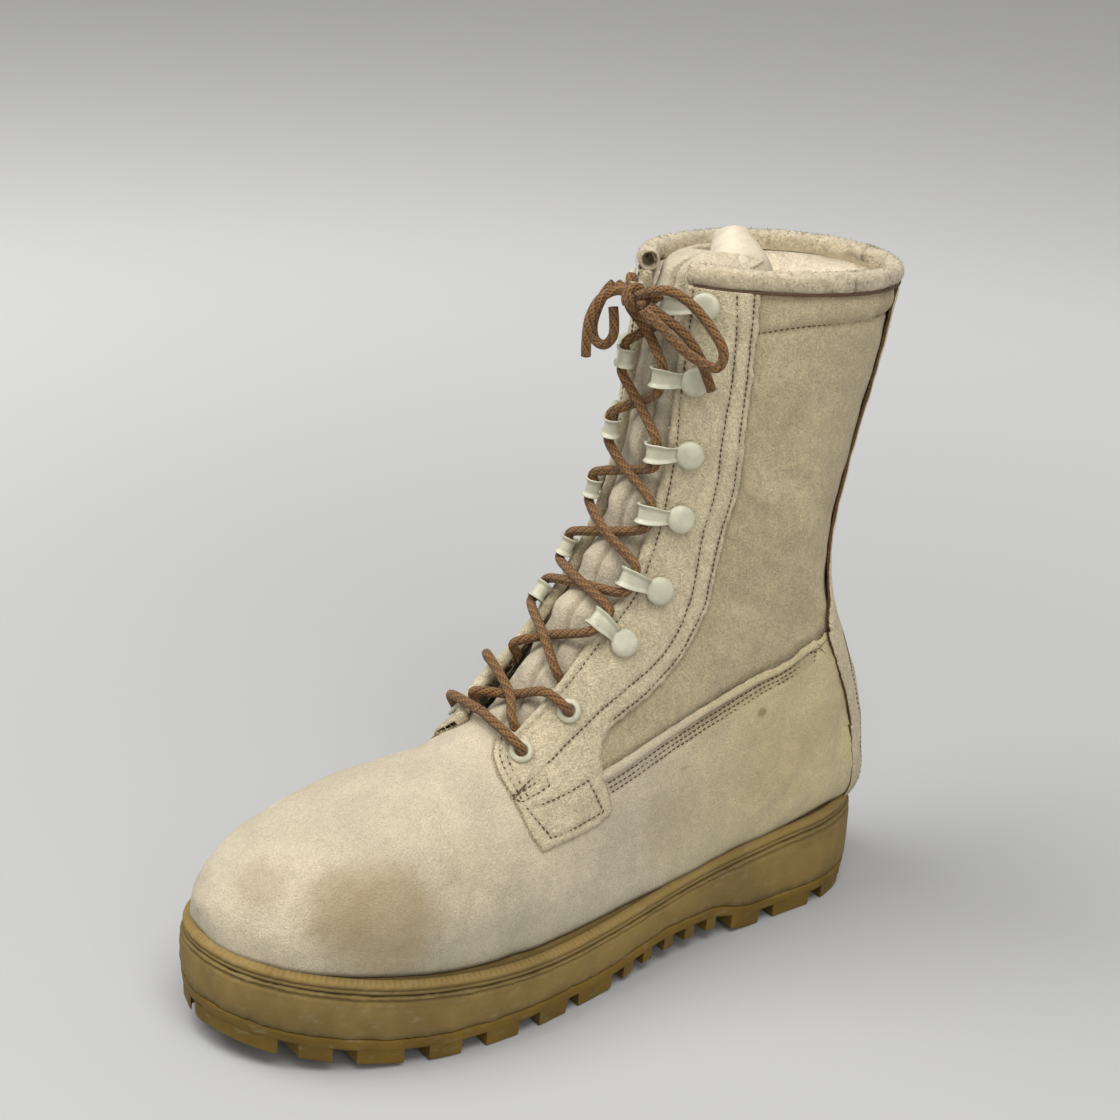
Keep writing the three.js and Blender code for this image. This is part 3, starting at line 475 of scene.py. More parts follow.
def repeat(template, faces, origins, frames, sizes=None):
    """Copies of a small template, one for each origin and frame (rows of a frame are its axes)."""
    template = np.asarray(template, float)
    shape = template[None] * (1 if sizes is None else sizes[:, None, :])
    points = origins[:, None, :] + np.einsum("nkj,nji->nki", shape, frames)
    count = len(template)
    starts = np.arange(len(origins)) * count
    out = []
    for f in faces:
        out.extend((starts[:, None] + np.array(f)[None]).tolist())
    return points.reshape(-1, 3), out


def frames_along(line, normals):
    ahead = unit(np.gradient(line, axis=0))
    out = unit(normals - ahead * (normals * ahead).sum(1, keepdims=True))
    return np.stack([ahead, np.cross(out, ahead), out], 1)


# ---- Finishes ---------------------------------------------------------------------------------------


class Value:
    """A socket of a finish's nodes. Sums written with it add Math nodes."""

    def __init__(self, finish, socket):
        self.finish = finish
        self.socket = socket

    def math(self, operation, *others):
        return self.finish.node("Math", dict(enumerate((self, *others))), operation=operation)

    def __add__(self, other):
        return self.math("ADD", other)

    def __sub__(self, other):
        return self.math("SUBTRACT", other)

    def __mul__(self, other):
        return self.math("MULTIPLY", other)

    __radd__ = __add__
    __rmul__ = __mul__

    def __rsub__(self, other):
        return self.finish.node("Math", {0: other, 1: self}, operation="SUBTRACT")

    def between(self, low, high):
        """0 below low, 1 above high, and smooth between."""
        inputs = {"Value": self, "From Min": low, "From Max": high}
        return self.finish.node("MapRange", inputs, interpolation_type="SMOOTHSTEP")

    def sine(self):
        return self.math("SINE")


class Finish:
    """A material that is built up node by node."""

    def __init__(self, name):
        self.material = bpy.data.materials.new(name)
        self.material.use_nodes = True
        self.tree = self.material.node_tree
        self.tree.nodes.clear()
        self.here = self.node("TexCoord", output=3)

    def node(self, kind, inputs=None, output=0, **settings):
        node = self.tree.nodes.new("ShaderNode" + kind)
        for key, value in settings.items():
            setattr(node, key, value)
        for key, value in (inputs or {}).items():
            if isinstance(value, Value):
                self.tree.links.new(value.socket, node.inputs[key])
            else:
                node.inputs[key].default_value = value
        return Value(self, node.outputs[output]) if len(node.outputs) else None

    def noise(self, size, detail=3.0, rough=0.6, at=None, distortion=0.0):
        """Noise with lumps of a size in millimetres."""
        inputs = {
            "Vector": at or self.here, "Scale": 1000 / size, "Detail": detail,
            "Roughness": rough, "Distortion": distortion,
        }
        return self.node("TexNoise", inputs)

    def cells(self, size, at=None):
        return self.node("TexVoronoi", {"Vector": at or self.here, "Scale": 1000 / size})

    def stretched(self, x, y, z):
        """The place, with each axis scaled."""
        return self.node("VectorMath", {0: self.here, 1: (x, y, z)}, operation="MULTIPLY")

    def part(self, vector, axis):
        return self.node("SeparateXYZ", {0: vector}, output=axis)

    def number(self, name):
        """A number kept on the mesh's points."""
        return self.node("Attribute", output=2, attribute_name=name)

    def mix(self, share, first, second, blend="MIX"):
        first, second = ((*c, 1) if isinstance(c, tuple) else c for c in (first, second))
        inputs = {0: share, 6: first, 7: second}
        return self.node("Mix", inputs, output=2, data_type="RGBA", blend_type=blend)

    def spot(self, place, radius, ragged=0.35):
        """1 at a place in millimetres, falling raggedly to 0 at a radius."""
        centre = tuple(((np.array(place) - ORIGIN) / 1000).tolist())
        gap = self.node("VectorMath", {0: self.here, 1: centre}, output=1, operation="DISTANCE")
        ragged_gap = gap * (1000 / radius) + (self.noise(radius * 0.7, 4) - 0.5) * (2 * ragged)
        return 1 - ragged_gap.between(0.35, 1.0)

    def shade(self, base, roughness, height=None, depth=0.3, **constants):
        """Ends the material. depth is the bump's height in millimetres; constants are the shader's own."""
        inputs = {"Base Color": base, "Roughness": roughness}
        if height is not None:
            bump = {"Height": height, "Distance": depth / 1000, "Strength": 1.0}
            inputs["Normal"] = self.node("Bump", bump)
        for key, value in constants.items():
            inputs[key.replace("_", " ").title().replace("Ior", "IOR")] = value
        shader = self.node("BsdfPrincipled", inputs)
        self.node("OutputMaterial", {"Surface": shader})
        return self.material


def scaled(colour_value, by):
    return tuple(min(c * by, 1.0) for c in colour_value)


def suede_finish(name, base, soil, grime, coarse, stains=()):
    """Rough-side-out leather: short nap, cloudy tone, painted shade in its hollows and stains where it is
    worn.
    """
    f = Finish(name)
    nap = f.noise(0.75 + 0.4 * coarse, 3, 0.75)
    tufts = f.noise(2.4 + 1.0 * coarse, 4, 0.65, at=f.stretched(1, 1, 0.6), distortion=0.5 * coarse)
    clouds = f.noise(19, 4, 0.6)
    drifts = f.noise(62, 3, 0.5)
    tone = clouds * 0.55 + drifts * 0.45
    skin = f.mix(tone.between(0.36, 0.64), scaled(base, 0.84), scaled(base, 1.14))
    skin = f.mix(tufts.between(0.34, 0.66) * (0.24 + 0.36 * coarse), skin, scaled(base, 0.6))
    skin = f.mix(nap.between(0.40, 0.66) * (0.30 + 0.16 * coarse), skin, scaled(base, 1.42))
    pits = f.noise(0.5 + 0.15 * coarse, 2, 0.8)
    skin = f.mix(1 - pits.between(0.28, 0.52), skin, scaled(base, 0.6))
    level = f.part(f.here, 2) * 1000
    heel = 1 - (f.part(f.here, 0) * 1000).between(-85, -5)
    skin = f.mix(heel * (0.8 * (coarse < 0.5)), skin, (1.0, 0.97, 0.70), "MULTIPLY")
    low = 1 - (level + clouds * 40).between(48, 92)
    skin = f.mix(low * 0.34, skin, grime)
    for place, radius, strength in stains:
        skin = f.mix(f.spot(place, radius) * strength, skin, soil)
    # painted shade: darker in the grooves, seams and joints that each panel marks as hollow
    hollow = f.number("hollow")
    skin = f.mix(hollow.between(0.05, 1.0) * 0.78, skin, scaled(soil, 0.5))
    edge = f.number("edge")
    skin = f.mix((edge + (tufts - 0.5) * 0.5).between(0.4, 0.75) * 0.2, skin, scaled(soil, 1.1))
    worn = f.number("worn")
    skin = f.mix(worn.between(0.0, 1.0) * 0.35, skin, scaled(base, 1.35))
    height = nap * 0.6 + tufts * (0.5 + 0.5 * coarse) + pits * 0.25
    return f.shade(skin, 0.93, height, 1.1 + 1.1 * coarse, sheen_weight=0.18, sheen_roughness=0.6,
                   specular_ior_level=0.15)


def fleece_finish(name, base, soil):
    f = Finish(name)
    curls = f.noise(1.5, 4, 0.75, distortion=1.2)
    clumps = f.noise(5.5, 3, 0.6)
    wool = f.mix(clumps.between(0.35, 0.7), scaled(base, 0.93), scaled(base, 1.1))
    wool = f.mix(curls.between(0.45, 0.75) * 0.5, wool, scaled(base, 1.35))
    dirty = f.noise(30, 3).between(0.6, 0.8) * 0.06
    # painted shade inside the roll's open ends, where edge is set, over a little dirt at random
    wool = f.mix(dirty + f.number("edge") * 0.55, wool, soil)
    return f.shade(wool, 0.96, curls + clumps, 1.3, sheen_weight=0.35, sheen_roughness=0.6,
                   specular_ior_level=0.1)


def grain_finish(name, base):
    """The smooth side of the leather."""
    f = Finish(name)
    pores = f.cells(0.9)
    folds = f.noise(9, 4, 0.6, distortion=0.8)
    skin = f.mix(folds.between(0.4, 0.7), scaled(base, 1.04), scaled(base, 0.86))
    return f.shade(skin, 0.62, pores * 0.4 + folds, 0.3, specular_ior_level=0.3)


def raw_finish(name, base):
    f = Finish(name)
    fibres = f.noise(0.7, 4, 0.8)
    skin = f.mix(fibres.between(0.35, 0.7), scaled(base, 0.6), scaled(base, 1.7))
    return f.shade(skin, 0.95, fibres, 0.8, specular_ior_level=0.15)


def rubber_finish(name, base, dust, gloss=0.62):
    f = Finish(name)
    grain = f.noise(0.55, 3, 0.7)
    scuffs = f.noise(7, 5, 0.7, at=f.stretched(1, 1, 2.4))
    clouds = f.noise(32, 3)
    skin = f.mix(clouds.between(0.36, 0.66), scaled(base, 0.82), scaled(base, 1.14))
    skin = f.mix(scuffs.between(0.52, 0.76) * 0.36, skin, dust)
    # painted shade: darker at the lugs' roots, in the parting lines, between the rim's ridges and under the
    # rim
    skin = f.mix(f.number("hollow") * 0.5, skin, scaled(base, 0.35))
    skin = f.mix(f.number("worn") * 0.45, skin, scaled(base, 1.6))
    rough = gloss + 0.15 * scuffs
    return f.shade(skin, rough, grain * 0.5 + scuffs * 0.5, 0.28, specular_ior_level=0.35)


def enamel_finish(name, base, soil):
    f = Finish(name)
    chips = f.noise(2.4, 4, 0.7)
    rub = f.noise(6, 3)
    paint = f.mix(rub.between(0.35, 0.7), scaled(base, 0.88), scaled(base, 1.08))
    paint = f.mix(chips.between(0.72, 0.80) * 0.5, paint, soil)
    return f.shade(paint, 0.42 + 0.2 * rub, chips, 0.06, coat_weight=0.15)


def braid_finish(name, base, dark):
    """A round braid: strands that cross in two turns round the cord, with darker ones among them and
    painted shade between them.
    """
    f = Finish(name)
    place = f.node("UVMap", uv_map="UVMap")
    round_it, along = f.part(place, 0) * (2 * math.pi), f.part(place, 1) * (2 * math.pi)
    left = (round_it * 8 + along * 1.5).sine()
    right = (round_it * 8 - along * 1.5).sine()
    cord = left.math("MAXIMUM", right)
    fuzz = f.noise(0.35, 3, 0.8)
    pick = (round_it * 4 + along * 0.75).sine()
    shade = f.mix(pick.between(0.0, 0.8) * 0.55, base, dark)
    # painted shade: darker in the grooves between the strands
    shade = f.mix((1 - cord.between(-0.5, 0.6)) * 0.75, shade, dark)
    shade = f.mix(fuzz.between(0.5, 0.75) * 0.25, shade, scaled(base, 1.6))
    return f.shade(shade, 0.8, cord * 0.8 + fuzz * 0.3, 0.28, sheen_weight=0.12, specular_ior_level=0.2)


def thread_finish(name, base):
    f = Finish(name)
    twist = f.noise(0.3, 2)
    yarn = f.mix(twist, scaled(base, 0.7), scaled(base, 1.5))
    return f.shade(yarn, 0.75, twist, 0.08, specular_ior_level=0.2)


def felt_finish(name, base):
    f = Finish(name)
    fuzz = f.noise(1.2, 4, 0.75)
    worn = f.noise(22, 3)
    wool = f.mix(worn.between(0.4, 0.65), scaled(base, 0.8), base)
    wool = f.mix(fuzz.between(0.5, 0.75) * 0.4, wool, scaled(base, 1.3))
    return f.shade(wool, 0.95, fuzz, 0.5, specular_ior_level=0.1)


def floor_finish(name):
    f = Finish(name)
    # painted shadow: the floor is darker within about 0.2 m of the boot and grows lighter out to 1.3 m
    away = f.node("VectorMath", {0: f.here}, output=1, operation="LENGTH").between(0.2, 1.3)
    floor_and_shadow = f.mix(away, (0.42, 0.42, 0.416), (0.70, 0.70, 0.695))
    return f.shade(floor_and_shadow, 0.9, specular_ior_level=0.1)


# Stains: the place, the radius and the strength of each.
LOWER_STAINS = [
    ((252, 44, 58), 30, 0.6),
    ((266, 36, 64), 22, 0.35),
    ((284, 12, 66), 15, 0.35),
    ((73.5, 37, 98), 3.2, 0.85),
    ((216, 40, 70), 16, 0.2),
    ((60, 38, 70), 22, 0.22),
    ((40, 36, 84), 16, 0.25),
    ((120, 38, 60), 24, 0.15),
]
SHAFT_STAINS = [((30, 38, 262), 11, 0.4), ((80, 38, 225), 18, 0.18), ((40, 38, 180), 16, 0.16)]
FINISHES = {}


def finish_of(name):
    """A finish by name, made when it is first asked for."""
    if name in FINISHES:
        return FINISHES[name]
    tints = bpy.context.scene.boot_colours
    tint = {key: tuple(getattr(tints, key)) for key in BootColours.__annotations__}
    soil, grime = tint["soil"], tint["grime"]
    makers = {
        "lower_suede": (suede_finish, tint["suede"], soil, grime, 0.15, LOWER_STAINS),
        "shaft_suede": (suede_finish, tint["suede_rough"], soil, grime, 0.75, SHAFT_STAINS),
        "tongue_suede": (suede_finish, tint["suede"], soil, grime, 0.5),
        "facing_suede": (suede_finish, tint["facing"], soil, grime, 1.0),
        "fleece": (fleece_finish, tint["lining"], soil),
        "roll_fleece": (fleece_finish, tint["roll"], soil),
        "grain": (grain_finish, tint["grain"]),
        "raw_edge": (raw_finish, tint["raw_edge"]),
        "outsole_rubber": (rubber_finish, tint["rubber"], grime),
        "midsole_rubber": (rubber_finish, tint["midsole"], grime, 0.7),
        "enamel": (enamel_finish, tint["enamel"], soil),
        "braid": (braid_finish, tint["lace"], tint["lace_dark"]),
        "thread": (thread_finish, tint["thread"]),
        "fibre": (thread_finish, scaled(tint["facing"], 0.95)),
        "felt": (felt_finish, scaled(tint["lining"], 0.7)),
        "floor": (floor_finish,),
    }
    maker, *choices = makers[name]
    FINISHES[name] = maker(name, *choices)
    return FINISHES[name]


# ---- Laces and their bow ----------------------------------------------------------------------------
# Places from the sole's heel, the shaft's centre plane and the floor.
BOW = {
    "lace_loop_outer": [
        (126.5, 12.5, 270.5), (124.5, 20.5, 272.5), (120.5, 26.5, 270), (116, 32, 264),
        (112.5, 38.5, 255.5), (112, 39.7, 250.5), (114, 38.5, 247), (119.5, 33.5, 249.5),
        (124.5, 28, 254.5), (128.5, 22, 260.5), (131, 15.5, 264.5),
    ],
    "lace_end_outer": [
        (126.5, 12.5, 265), (124, 18, 262), (119.5, 24, 257.5), (115.5, 28.8, 250.5), (113, 31.5, 243),
        (111, 33.5, 236.5),
    ],
    "lace_loop_inner": [
        (128, -8, 269), (130, -10, 265.5), (132, -12, 258.5), (132.5, -13.5, 251.5), (132, -12, 246.5),
        (130.5, -8, 245.5), (129.4, -4.6, 249.5), (129, -4.8, 254.5), (129.2, -5.8, 260.5),
    ],
    "lace_end_inner": [
        (127, 1.5, 267), (130, -1.8, 268), (133, -4.5, 266.5), (136, -6.5, 263), (138.5, -7.5, 257),
        (139, -8, 250), (138.5, -8.5, 242),
    ],
}
KNOT_MIDDLE = np.array([126.0, 3.0, 266.0])
KNOT_CORE = [(1.6, -9, 3.2), (0.6, -4, 1.2), (0, 1, 0.9), (0.2, 6, 2.8), (0.5, 9.5, 4.5)]
KNOT_UNDER = [(-1, -5, -3), (0, -2, -1.4), (0, 3, -1.5), (0.5, 8.5, -1)]


def lace_tube(name, line, node):
    """A length of lace along a line in millimetres."""
    across = bpy.context.scene.boot_sizes.lace * 1000
    points, faces, along, around = tube(line, across / 2, 20)
    uv = np.stack([around, along / across], 1)
    return add_mesh(name, points, faces, finish_of("braid"), node, uv=uv)


def flap(row, gap, side):
    """How far a facing's lower edge stands off the foot, at a distance from that edge."""
    most = 6.5 if side < 0 else 0.8
    near_row = np.exp(-((np.asarray(row) - 7.65) / 0.85) ** 2)
    return most * near_row * np.exp(-(np.asarray(gap) / 11.0) ** 2)


def fitting(row, side, from_edge, height):
    """An eyelet's or hook's origin and axes: x is square to the throat's edge and z is off the face."""
    rows = np.array([row - 0.1, row, row + 0.1])
    turns = side_turn(turn_at_width(rows, throat_edge(rows, side) + from_edge * 0.85, side), side)
    below, _, above = face(rows, turns)
    out = face_normal(row, turns[1])
    towards = unit(np.cross(out, above - below) * side)
    return off_face(row, turns[1], height), np.stack([towards, np.cross(out, towards), out])


def at_fitting(place, frame_of):
    return frame_of[0] + np.asarray(place, float) @ frame_of[1]


def hook_frame(i, side):
    return fitting(HOOK_ROWS[i], side, HOOK_FROM_EDGE, OVER_FACING + 0.4)


def eyelet_frame(i, side):
    height = OVER_FACING + 0.2 + flap(EYELET_ROWS[i], 7.65, side)
    return fitting(EYELET_ROWS[i], side, EYELET_FROM_EDGE, height)


def beside_throat(row, side, past, height):
    """A place a little past the throat's edge on a side, at a height over the facing there."""
    turn = side_turn(turn_at_width(row, throat_edge(row, side) + past, side), side)
    return off_face(row, turn, height + flap(row, max(past, 0), side))


RIDGE_ROWS = np.linspace(THROAT_FOOT, COLLAR_ROW, 300)


def over_ridge(a, b, height):
    """The place between two others where a strand passes over the throat's middle."""
    ridge = face(RIDGE_ROWS, 0.5)
    row = RIDGE_ROWS[np.argmin(((ridge - (a + b) / 2) ** 2).sum(1))]
    return off_face(row, 0.5, height)


def lace_path(start):
    """Half of the lace, from the bar at the throat's foot up to the knot. It starts to one side."""
    side = start
    lowest = eyelet_frame(0, side)
    bar_side = beside_throat(7.18, side, 2.4, 6.2)
    across = off_face(np.array(7.18), 0.5, 5.6)
    path = [across, bar_side, at_fitting((0.4, 0, 2.8), lowest), at_fitting((0.2, 0, -2.6), lowest)]
    path += [beside_throat(7.34, side, 1.5, -3.8)]
    leave = beside_throat(7.42, side, -3.6, 1.2)
    second = eyelet_frame(1, -side)
    arrive = beside_throat(8.02, -side, -0.4, 5.0)
    path += [leave, over_ridge(leave, arrive, 1.5 if side > 0 else -0.9), arrive]
    side = -side
    path += [at_fitting((2.2, 0, 3.2), second), at_fitting((0, 0, -2.6), second)]
    path += [beside_throat(8.24, side, 1.5, -3.8)]
    leave = beside_throat(8.32, side, -3.6, 1.2)
    path.append(leave)
    for i in range(len(HOOK_ROWS)):
        other = hook_frame(i, -side)
        below, above = (at_fitting((13.4, k * side * -5.8, 1.3), other) for k in (1, -1))
        behind = at_fitting((12.9, 0, 0.1), other)
        path += [over_ridge(leave, below, 1.5 if side > 0 else -0.9), below, behind]
        if i < len(HOOK_ROWS) - 1:
            path.append(above)
        else:
            path.append(at_fitting((13.4, side * 5.2, 1.9), other))
        leave = above
        side = -side
    path.append(KNOT_MIDDLE + np.array([-1.0, side * 4.5, -1.5]))
    path.append(KNOT_MIDDLE)
    return even_line(smooth_line(path, 12), 1.3)


# ---- The uppers' outlines, as (section row, turn on the outer side) ---------------------------------
# The lower panel's top edge, from the throat's foot round the ankle to the heel.
SEAM = [
    (8.03, 0.338), (8.35, 0.327), (8.6, 0.319), (8.9, 0.311), (9.26, 0.304), (9.65, 0.299),
    (10.1, 0.294), (10.6, 0.290), (11.3, 0.286), (12.1, 0.2785), (12.75, 0.267), (13.4, 0.252),
    (14.0, 0.232), (14.45, 0.205), (14.75, 0.16), (14.9, 0.10), (15.0, 0.0),
]
VAMP_EDGE = [(7.15, 0.5), (7.22, 0.475), (7.35, 0.44), (7.6, 0.40), (7.8, 0.368)]
FACING_REAR = [
    (6.73, 0.320), (7.1, 0.315), (7.5, 0.305), (7.86, 0.300), (7.94, 0.307), (7.98, 0.319),
    (8.03, 0.333), (8.12, 0.347), (8.26, 0.357), (8.45, 0.357), (8.7, 0.350), (9.0, 0.343),
    (9.4, 0.341), (9.8, 0.341), (10.4, 0.345), (11.4, 0.352), (12.1, 0.357), (13.55, 0.356),
    (15.9, 0.338), (17.6, 0.341), (18.9, 0.350), (20, 0.355),
]
FACING_FRONT = [
    (6.73, 0.320), (6.65, 0.350), (6.66, 0.387), (6.68, 0.421), (6.8, 0.446), (7.02, 0.462),
]
FACING_STITCH = [
    (6.66, 0.389), (6.9, 0.393), (7.4, 0.392), (7.89, 0.388), (8.36, 0.380), (8.72, 0.370), (9.1, 0.362),
    (9.5, 0.358), (10.1, 0.360), (10.95, 0.368), (11.7, 0.375), (12.9, 0.380), (15.1, 0.369), (17.3, 0.365),
    (18.75, 0.372), (19.85, 0.379),
]
ABOVE_SEAM = 8.3  # the row from which a facing's rear edge is clear of the seam
BAND_STITCH = [(18.5, 0.40), (18.97, 0.354), (19.4, 0.287), (19.6, 0.175), (19.62, 0.09), (19.62, 0.0)]
BACKSTAY = {
    "row": (11.2, 11.7, 12.1, 12.5, 13.1, 13.5, 14.0, 14.5, 15.2, 16.1, 16.9, 17.6, 18.5, 19.3, 20),
    "turn": (
        0.104, 0.130, 0.147, 0.164, 0.188, 0.210, 0.227, 0.220, 0.195, 0.154, 0.133, 0.127, 0.127, 0.130,
        0.135,
    ),
}

# Creases: where each starts and ends, how deep and how wide it is, and its side (1 outer, -1 inner).
CREASES = [
    ((11.2, 0.150), (13.6, 0.215), 1.5, 4.5, 1),
    ((9.2, 0.160), (11.0, 0.235), 0.7, 4.0, 1),
    ((13.2, 0.330), (14.3, 0.180), 1.3, 6.5, 1),
    ((14.9, 0.320), (15.9, 0.150), 1.0, 7.0, 1),
    ((12.2, 0.340), (12.8, 0.275), 0.9, 4.5, 1),
    ((16.5, 0.330), (17.1, 0.240), 0.6, 6.0, 1),
    ((5.4, 0.360), (5.7, 0.480), 0.6, 4.5, 1),
    ((6.1, 0.330), (6.35, 0.450), 0.8, 4.0, 1),
    ((5.9, 0.160), (6.3, 0.300), 0.5, 5.0, 1),
    ((11.2, 0.160), (13.6, 0.225), 1.3, 5.0, -1),
    ((13.3, 0.330), (14.4, 0.170), 1.3, 6.5, -1),
    ((15.1, 0.310), (16.0, 0.140), 0.9, 7.0, -1),
    ((12.1, 0.330), (12.7, 0.260), 0.8, 4.5, -1),
    ((6.0, 0.320), (6.3, 0.470), 0.8, 4.5, -1),
]


def seam_limit(row):
    """The turn where the lower panel stops, by section row."""
    rows, turns = zip((0, 0.5), *VAMP_EDGE, *SEAM)
    return np.where(np.asarray(row) < 7.15, 0.5, np.interp(row, rows, turns))


def creased(points, height):
    """The height of a panel with its creases pressed in, and ridges beside them."""
    for start, end, depth, width, side in CREASES:
        share = np.linspace(0, 1, 60)
        rows = start[0] + (end[0] - start[0]) * share
        turns = start[1] + (end[1] - start[1]) * share + 0.006 * np.sin(share * 5)
        line = face(rows, side_turn(turns, side))
        flat = points.reshape(-1, 3)
        near = np.where(((flat > line.min(0) - 25) & (flat < line.max(0) + 25)).all(1))[0]
        if not len(near):
            continue
        gap = np.full(len(flat), 99.0)
        at = np.zeros(len(flat))
        for part in np.array_split(near, len(near) // 8000 + 1):
            square = ((flat[part][:, None] - line[None]) ** 2).sum(-1)
            gap[part] = np.sqrt(square.min(1))
            at[part] = share[square.argmin(1)]
        fade = np.sin(np.pi * np.clip(at * 0.9 + 0.05, 0, 1)) ** 0.7
        trough = np.exp(-(gap / width) ** 2)
        ridge = np.exp(-((gap - 1.9 * width) / (0.9 * width)) ** 2)
        height = height - ((depth * trough - 0.4 * depth * ridge) * fade).reshape(height.shape)
    return height


def beside(places, distance, side=1):
    """Places at a distance in millimetres to the left of a line of places, seen from outside."""
    at = smooth_line(places, 10)
    rows, turns = at[:, 0], side_turn(at[:, 1], side)
    ahead = unit(np.gradient(face(rows, turns), axis=0))
    aim = np.cross(ahead, face_normal(rows, turns)) * distance * side
    by_row = (face(rows + 0.02, turns) - face(rows - 0.02, turns)) / 0.04
    by_turn = (face(rows, turns + 0.002) - face(rows, turns - 0.002)) / 0.004
    a, b, c = (by_row ** 2).sum(1), (by_row * by_turn).sum(1), (by_turn ** 2).sum(1)
    e, g = (by_row * aim).sum(1), (by_turn * aim).sum(1)
    det = np.maximum(a * c - b * b, 1e-6)
    moved_row, moved_turn = (e * c - g * b) / det, (a * g - b * e) / det
    return np.stack([rows + moved_row, side_turn(turns + moved_turn, side)], 1)


def line_on(places, side, height, pitch=1.0):
    """An even line on the face and the face's normals along it. Places are (row, turn)."""
    places = np.asarray(places, float)
    rows, turns = places[:, 0], side_turn(places[:, 1], side)
    walked = walked_along(face(rows, turns))
    even = np.linspace(0, walked[-1], max(int(walked[-1] / pitch), 2))
    rows, turns = np.interp(even, walked, rows), np.interp(even, walked, turns)
    return off_face(rows, turns, np.full(len(rows), height)), face_normal(rows, turns)


def triple_rows():
    """The three rows of stitches below the lower panel's top edge, as far as the backstay."""
    rows = [beside([p for p in SEAM if p[1] > 0.2], distance) for distance in (5.6, 7.6, 9.6)]
    return [places[places[:, 1] > 0.246] for places in rows]


def straight_runs(corners):
    """Places along the straight runs between corners."""
    corners = np.array(corners)
    at = np.linspace(0, len(corners) - 1, 24 * (len(corners) - 1) + 1)
    return np.stack([np.interp(at, np.arange(len(corners)), corners[:, k]) for k in (0, 1)], 1)


def facing_rows(side):
    """The rows of stitches on a facing, and on its tab."""
    along = np.linspace(7.3, 19.85, 60)
    near = np.stack([along, throat_turn(along, side, 3.0)], 1)
    rear = beside([p for p in FACING_REAR if p[0] > ABOVE_SEAM], -2.2)
    curve = beside(FACING_FRONT[2:], 2.4)
    second = beside(FACING_FRONT[2:], 5.0)
    tab = straight_runs([(6.76, 0.371), (7.80, 0.344), (7.79, 0.309), (6.92, 0.329), (6.76, 0.371)])
    box = straight_runs([(6.68, 0.392), (7.30, 0.385), (7.26, 0.374), (6.71, 0.381), (6.68, 0.392)])
    return [near, rear, smooth_line(FACING_STITCH), curve, second, tab, box]


def even_rows(start, stop, turn, count):
    """Section rows that are evenly spaced along the face at a turn."""
    fine = np.linspace(start, stop, 1500)
    walked = walked_along(face(fine, turn))
    return np.interp(np.linspace(0, walked[-1], count), walked, fine)


def both_sides(rows, ends, columns):
    """A grid from its inner end round the back or foot to its outer end.

    Gives its rows and turns, its turns as on the outer side, and its quarter coordinate.
    """
    share = np.linspace(-1, 1, columns)[None]
    outer_end, inner_end = (end[:, None] for end in ends)
    quarter = np.where(share < 0, -share * inner_end, share * outer_end)
    outer_turn = turn_of(quarter)
    turn = np.where(share < 0, 1 - outer_turn, outer_turn)
    return np.broadcast_to(rows[:, None], turn.shape), turn, outer_turn, quarter


def grooved(points, height, lines, depth=0.4, width=0.9):
    """A panel's height with grooves pressed in along lines, and how hollow it is there, which sets the
    painted shade in the grooves.
    """
    hollow = np.zeros(height.shape)
    for line in lines:
        gap = nearest(points, line)
        dip = np.exp(-(gap / width) ** 2)
        height = height - depth * dip
        hollow = np.maximum(hollow, 0.45 * np.exp(-(gap / 1.3) ** 2))
    return height, hollow


def heel_bulge(base):
    """How far the upper swells over the sole's edge round the heel."""
    heel = 1 - smoothstep(base[..., 0], 95, 165)
    return 3.4 * heel * np.exp(-(((base[..., 2] - sole_top(base[..., 0])) / 17) ** 2))


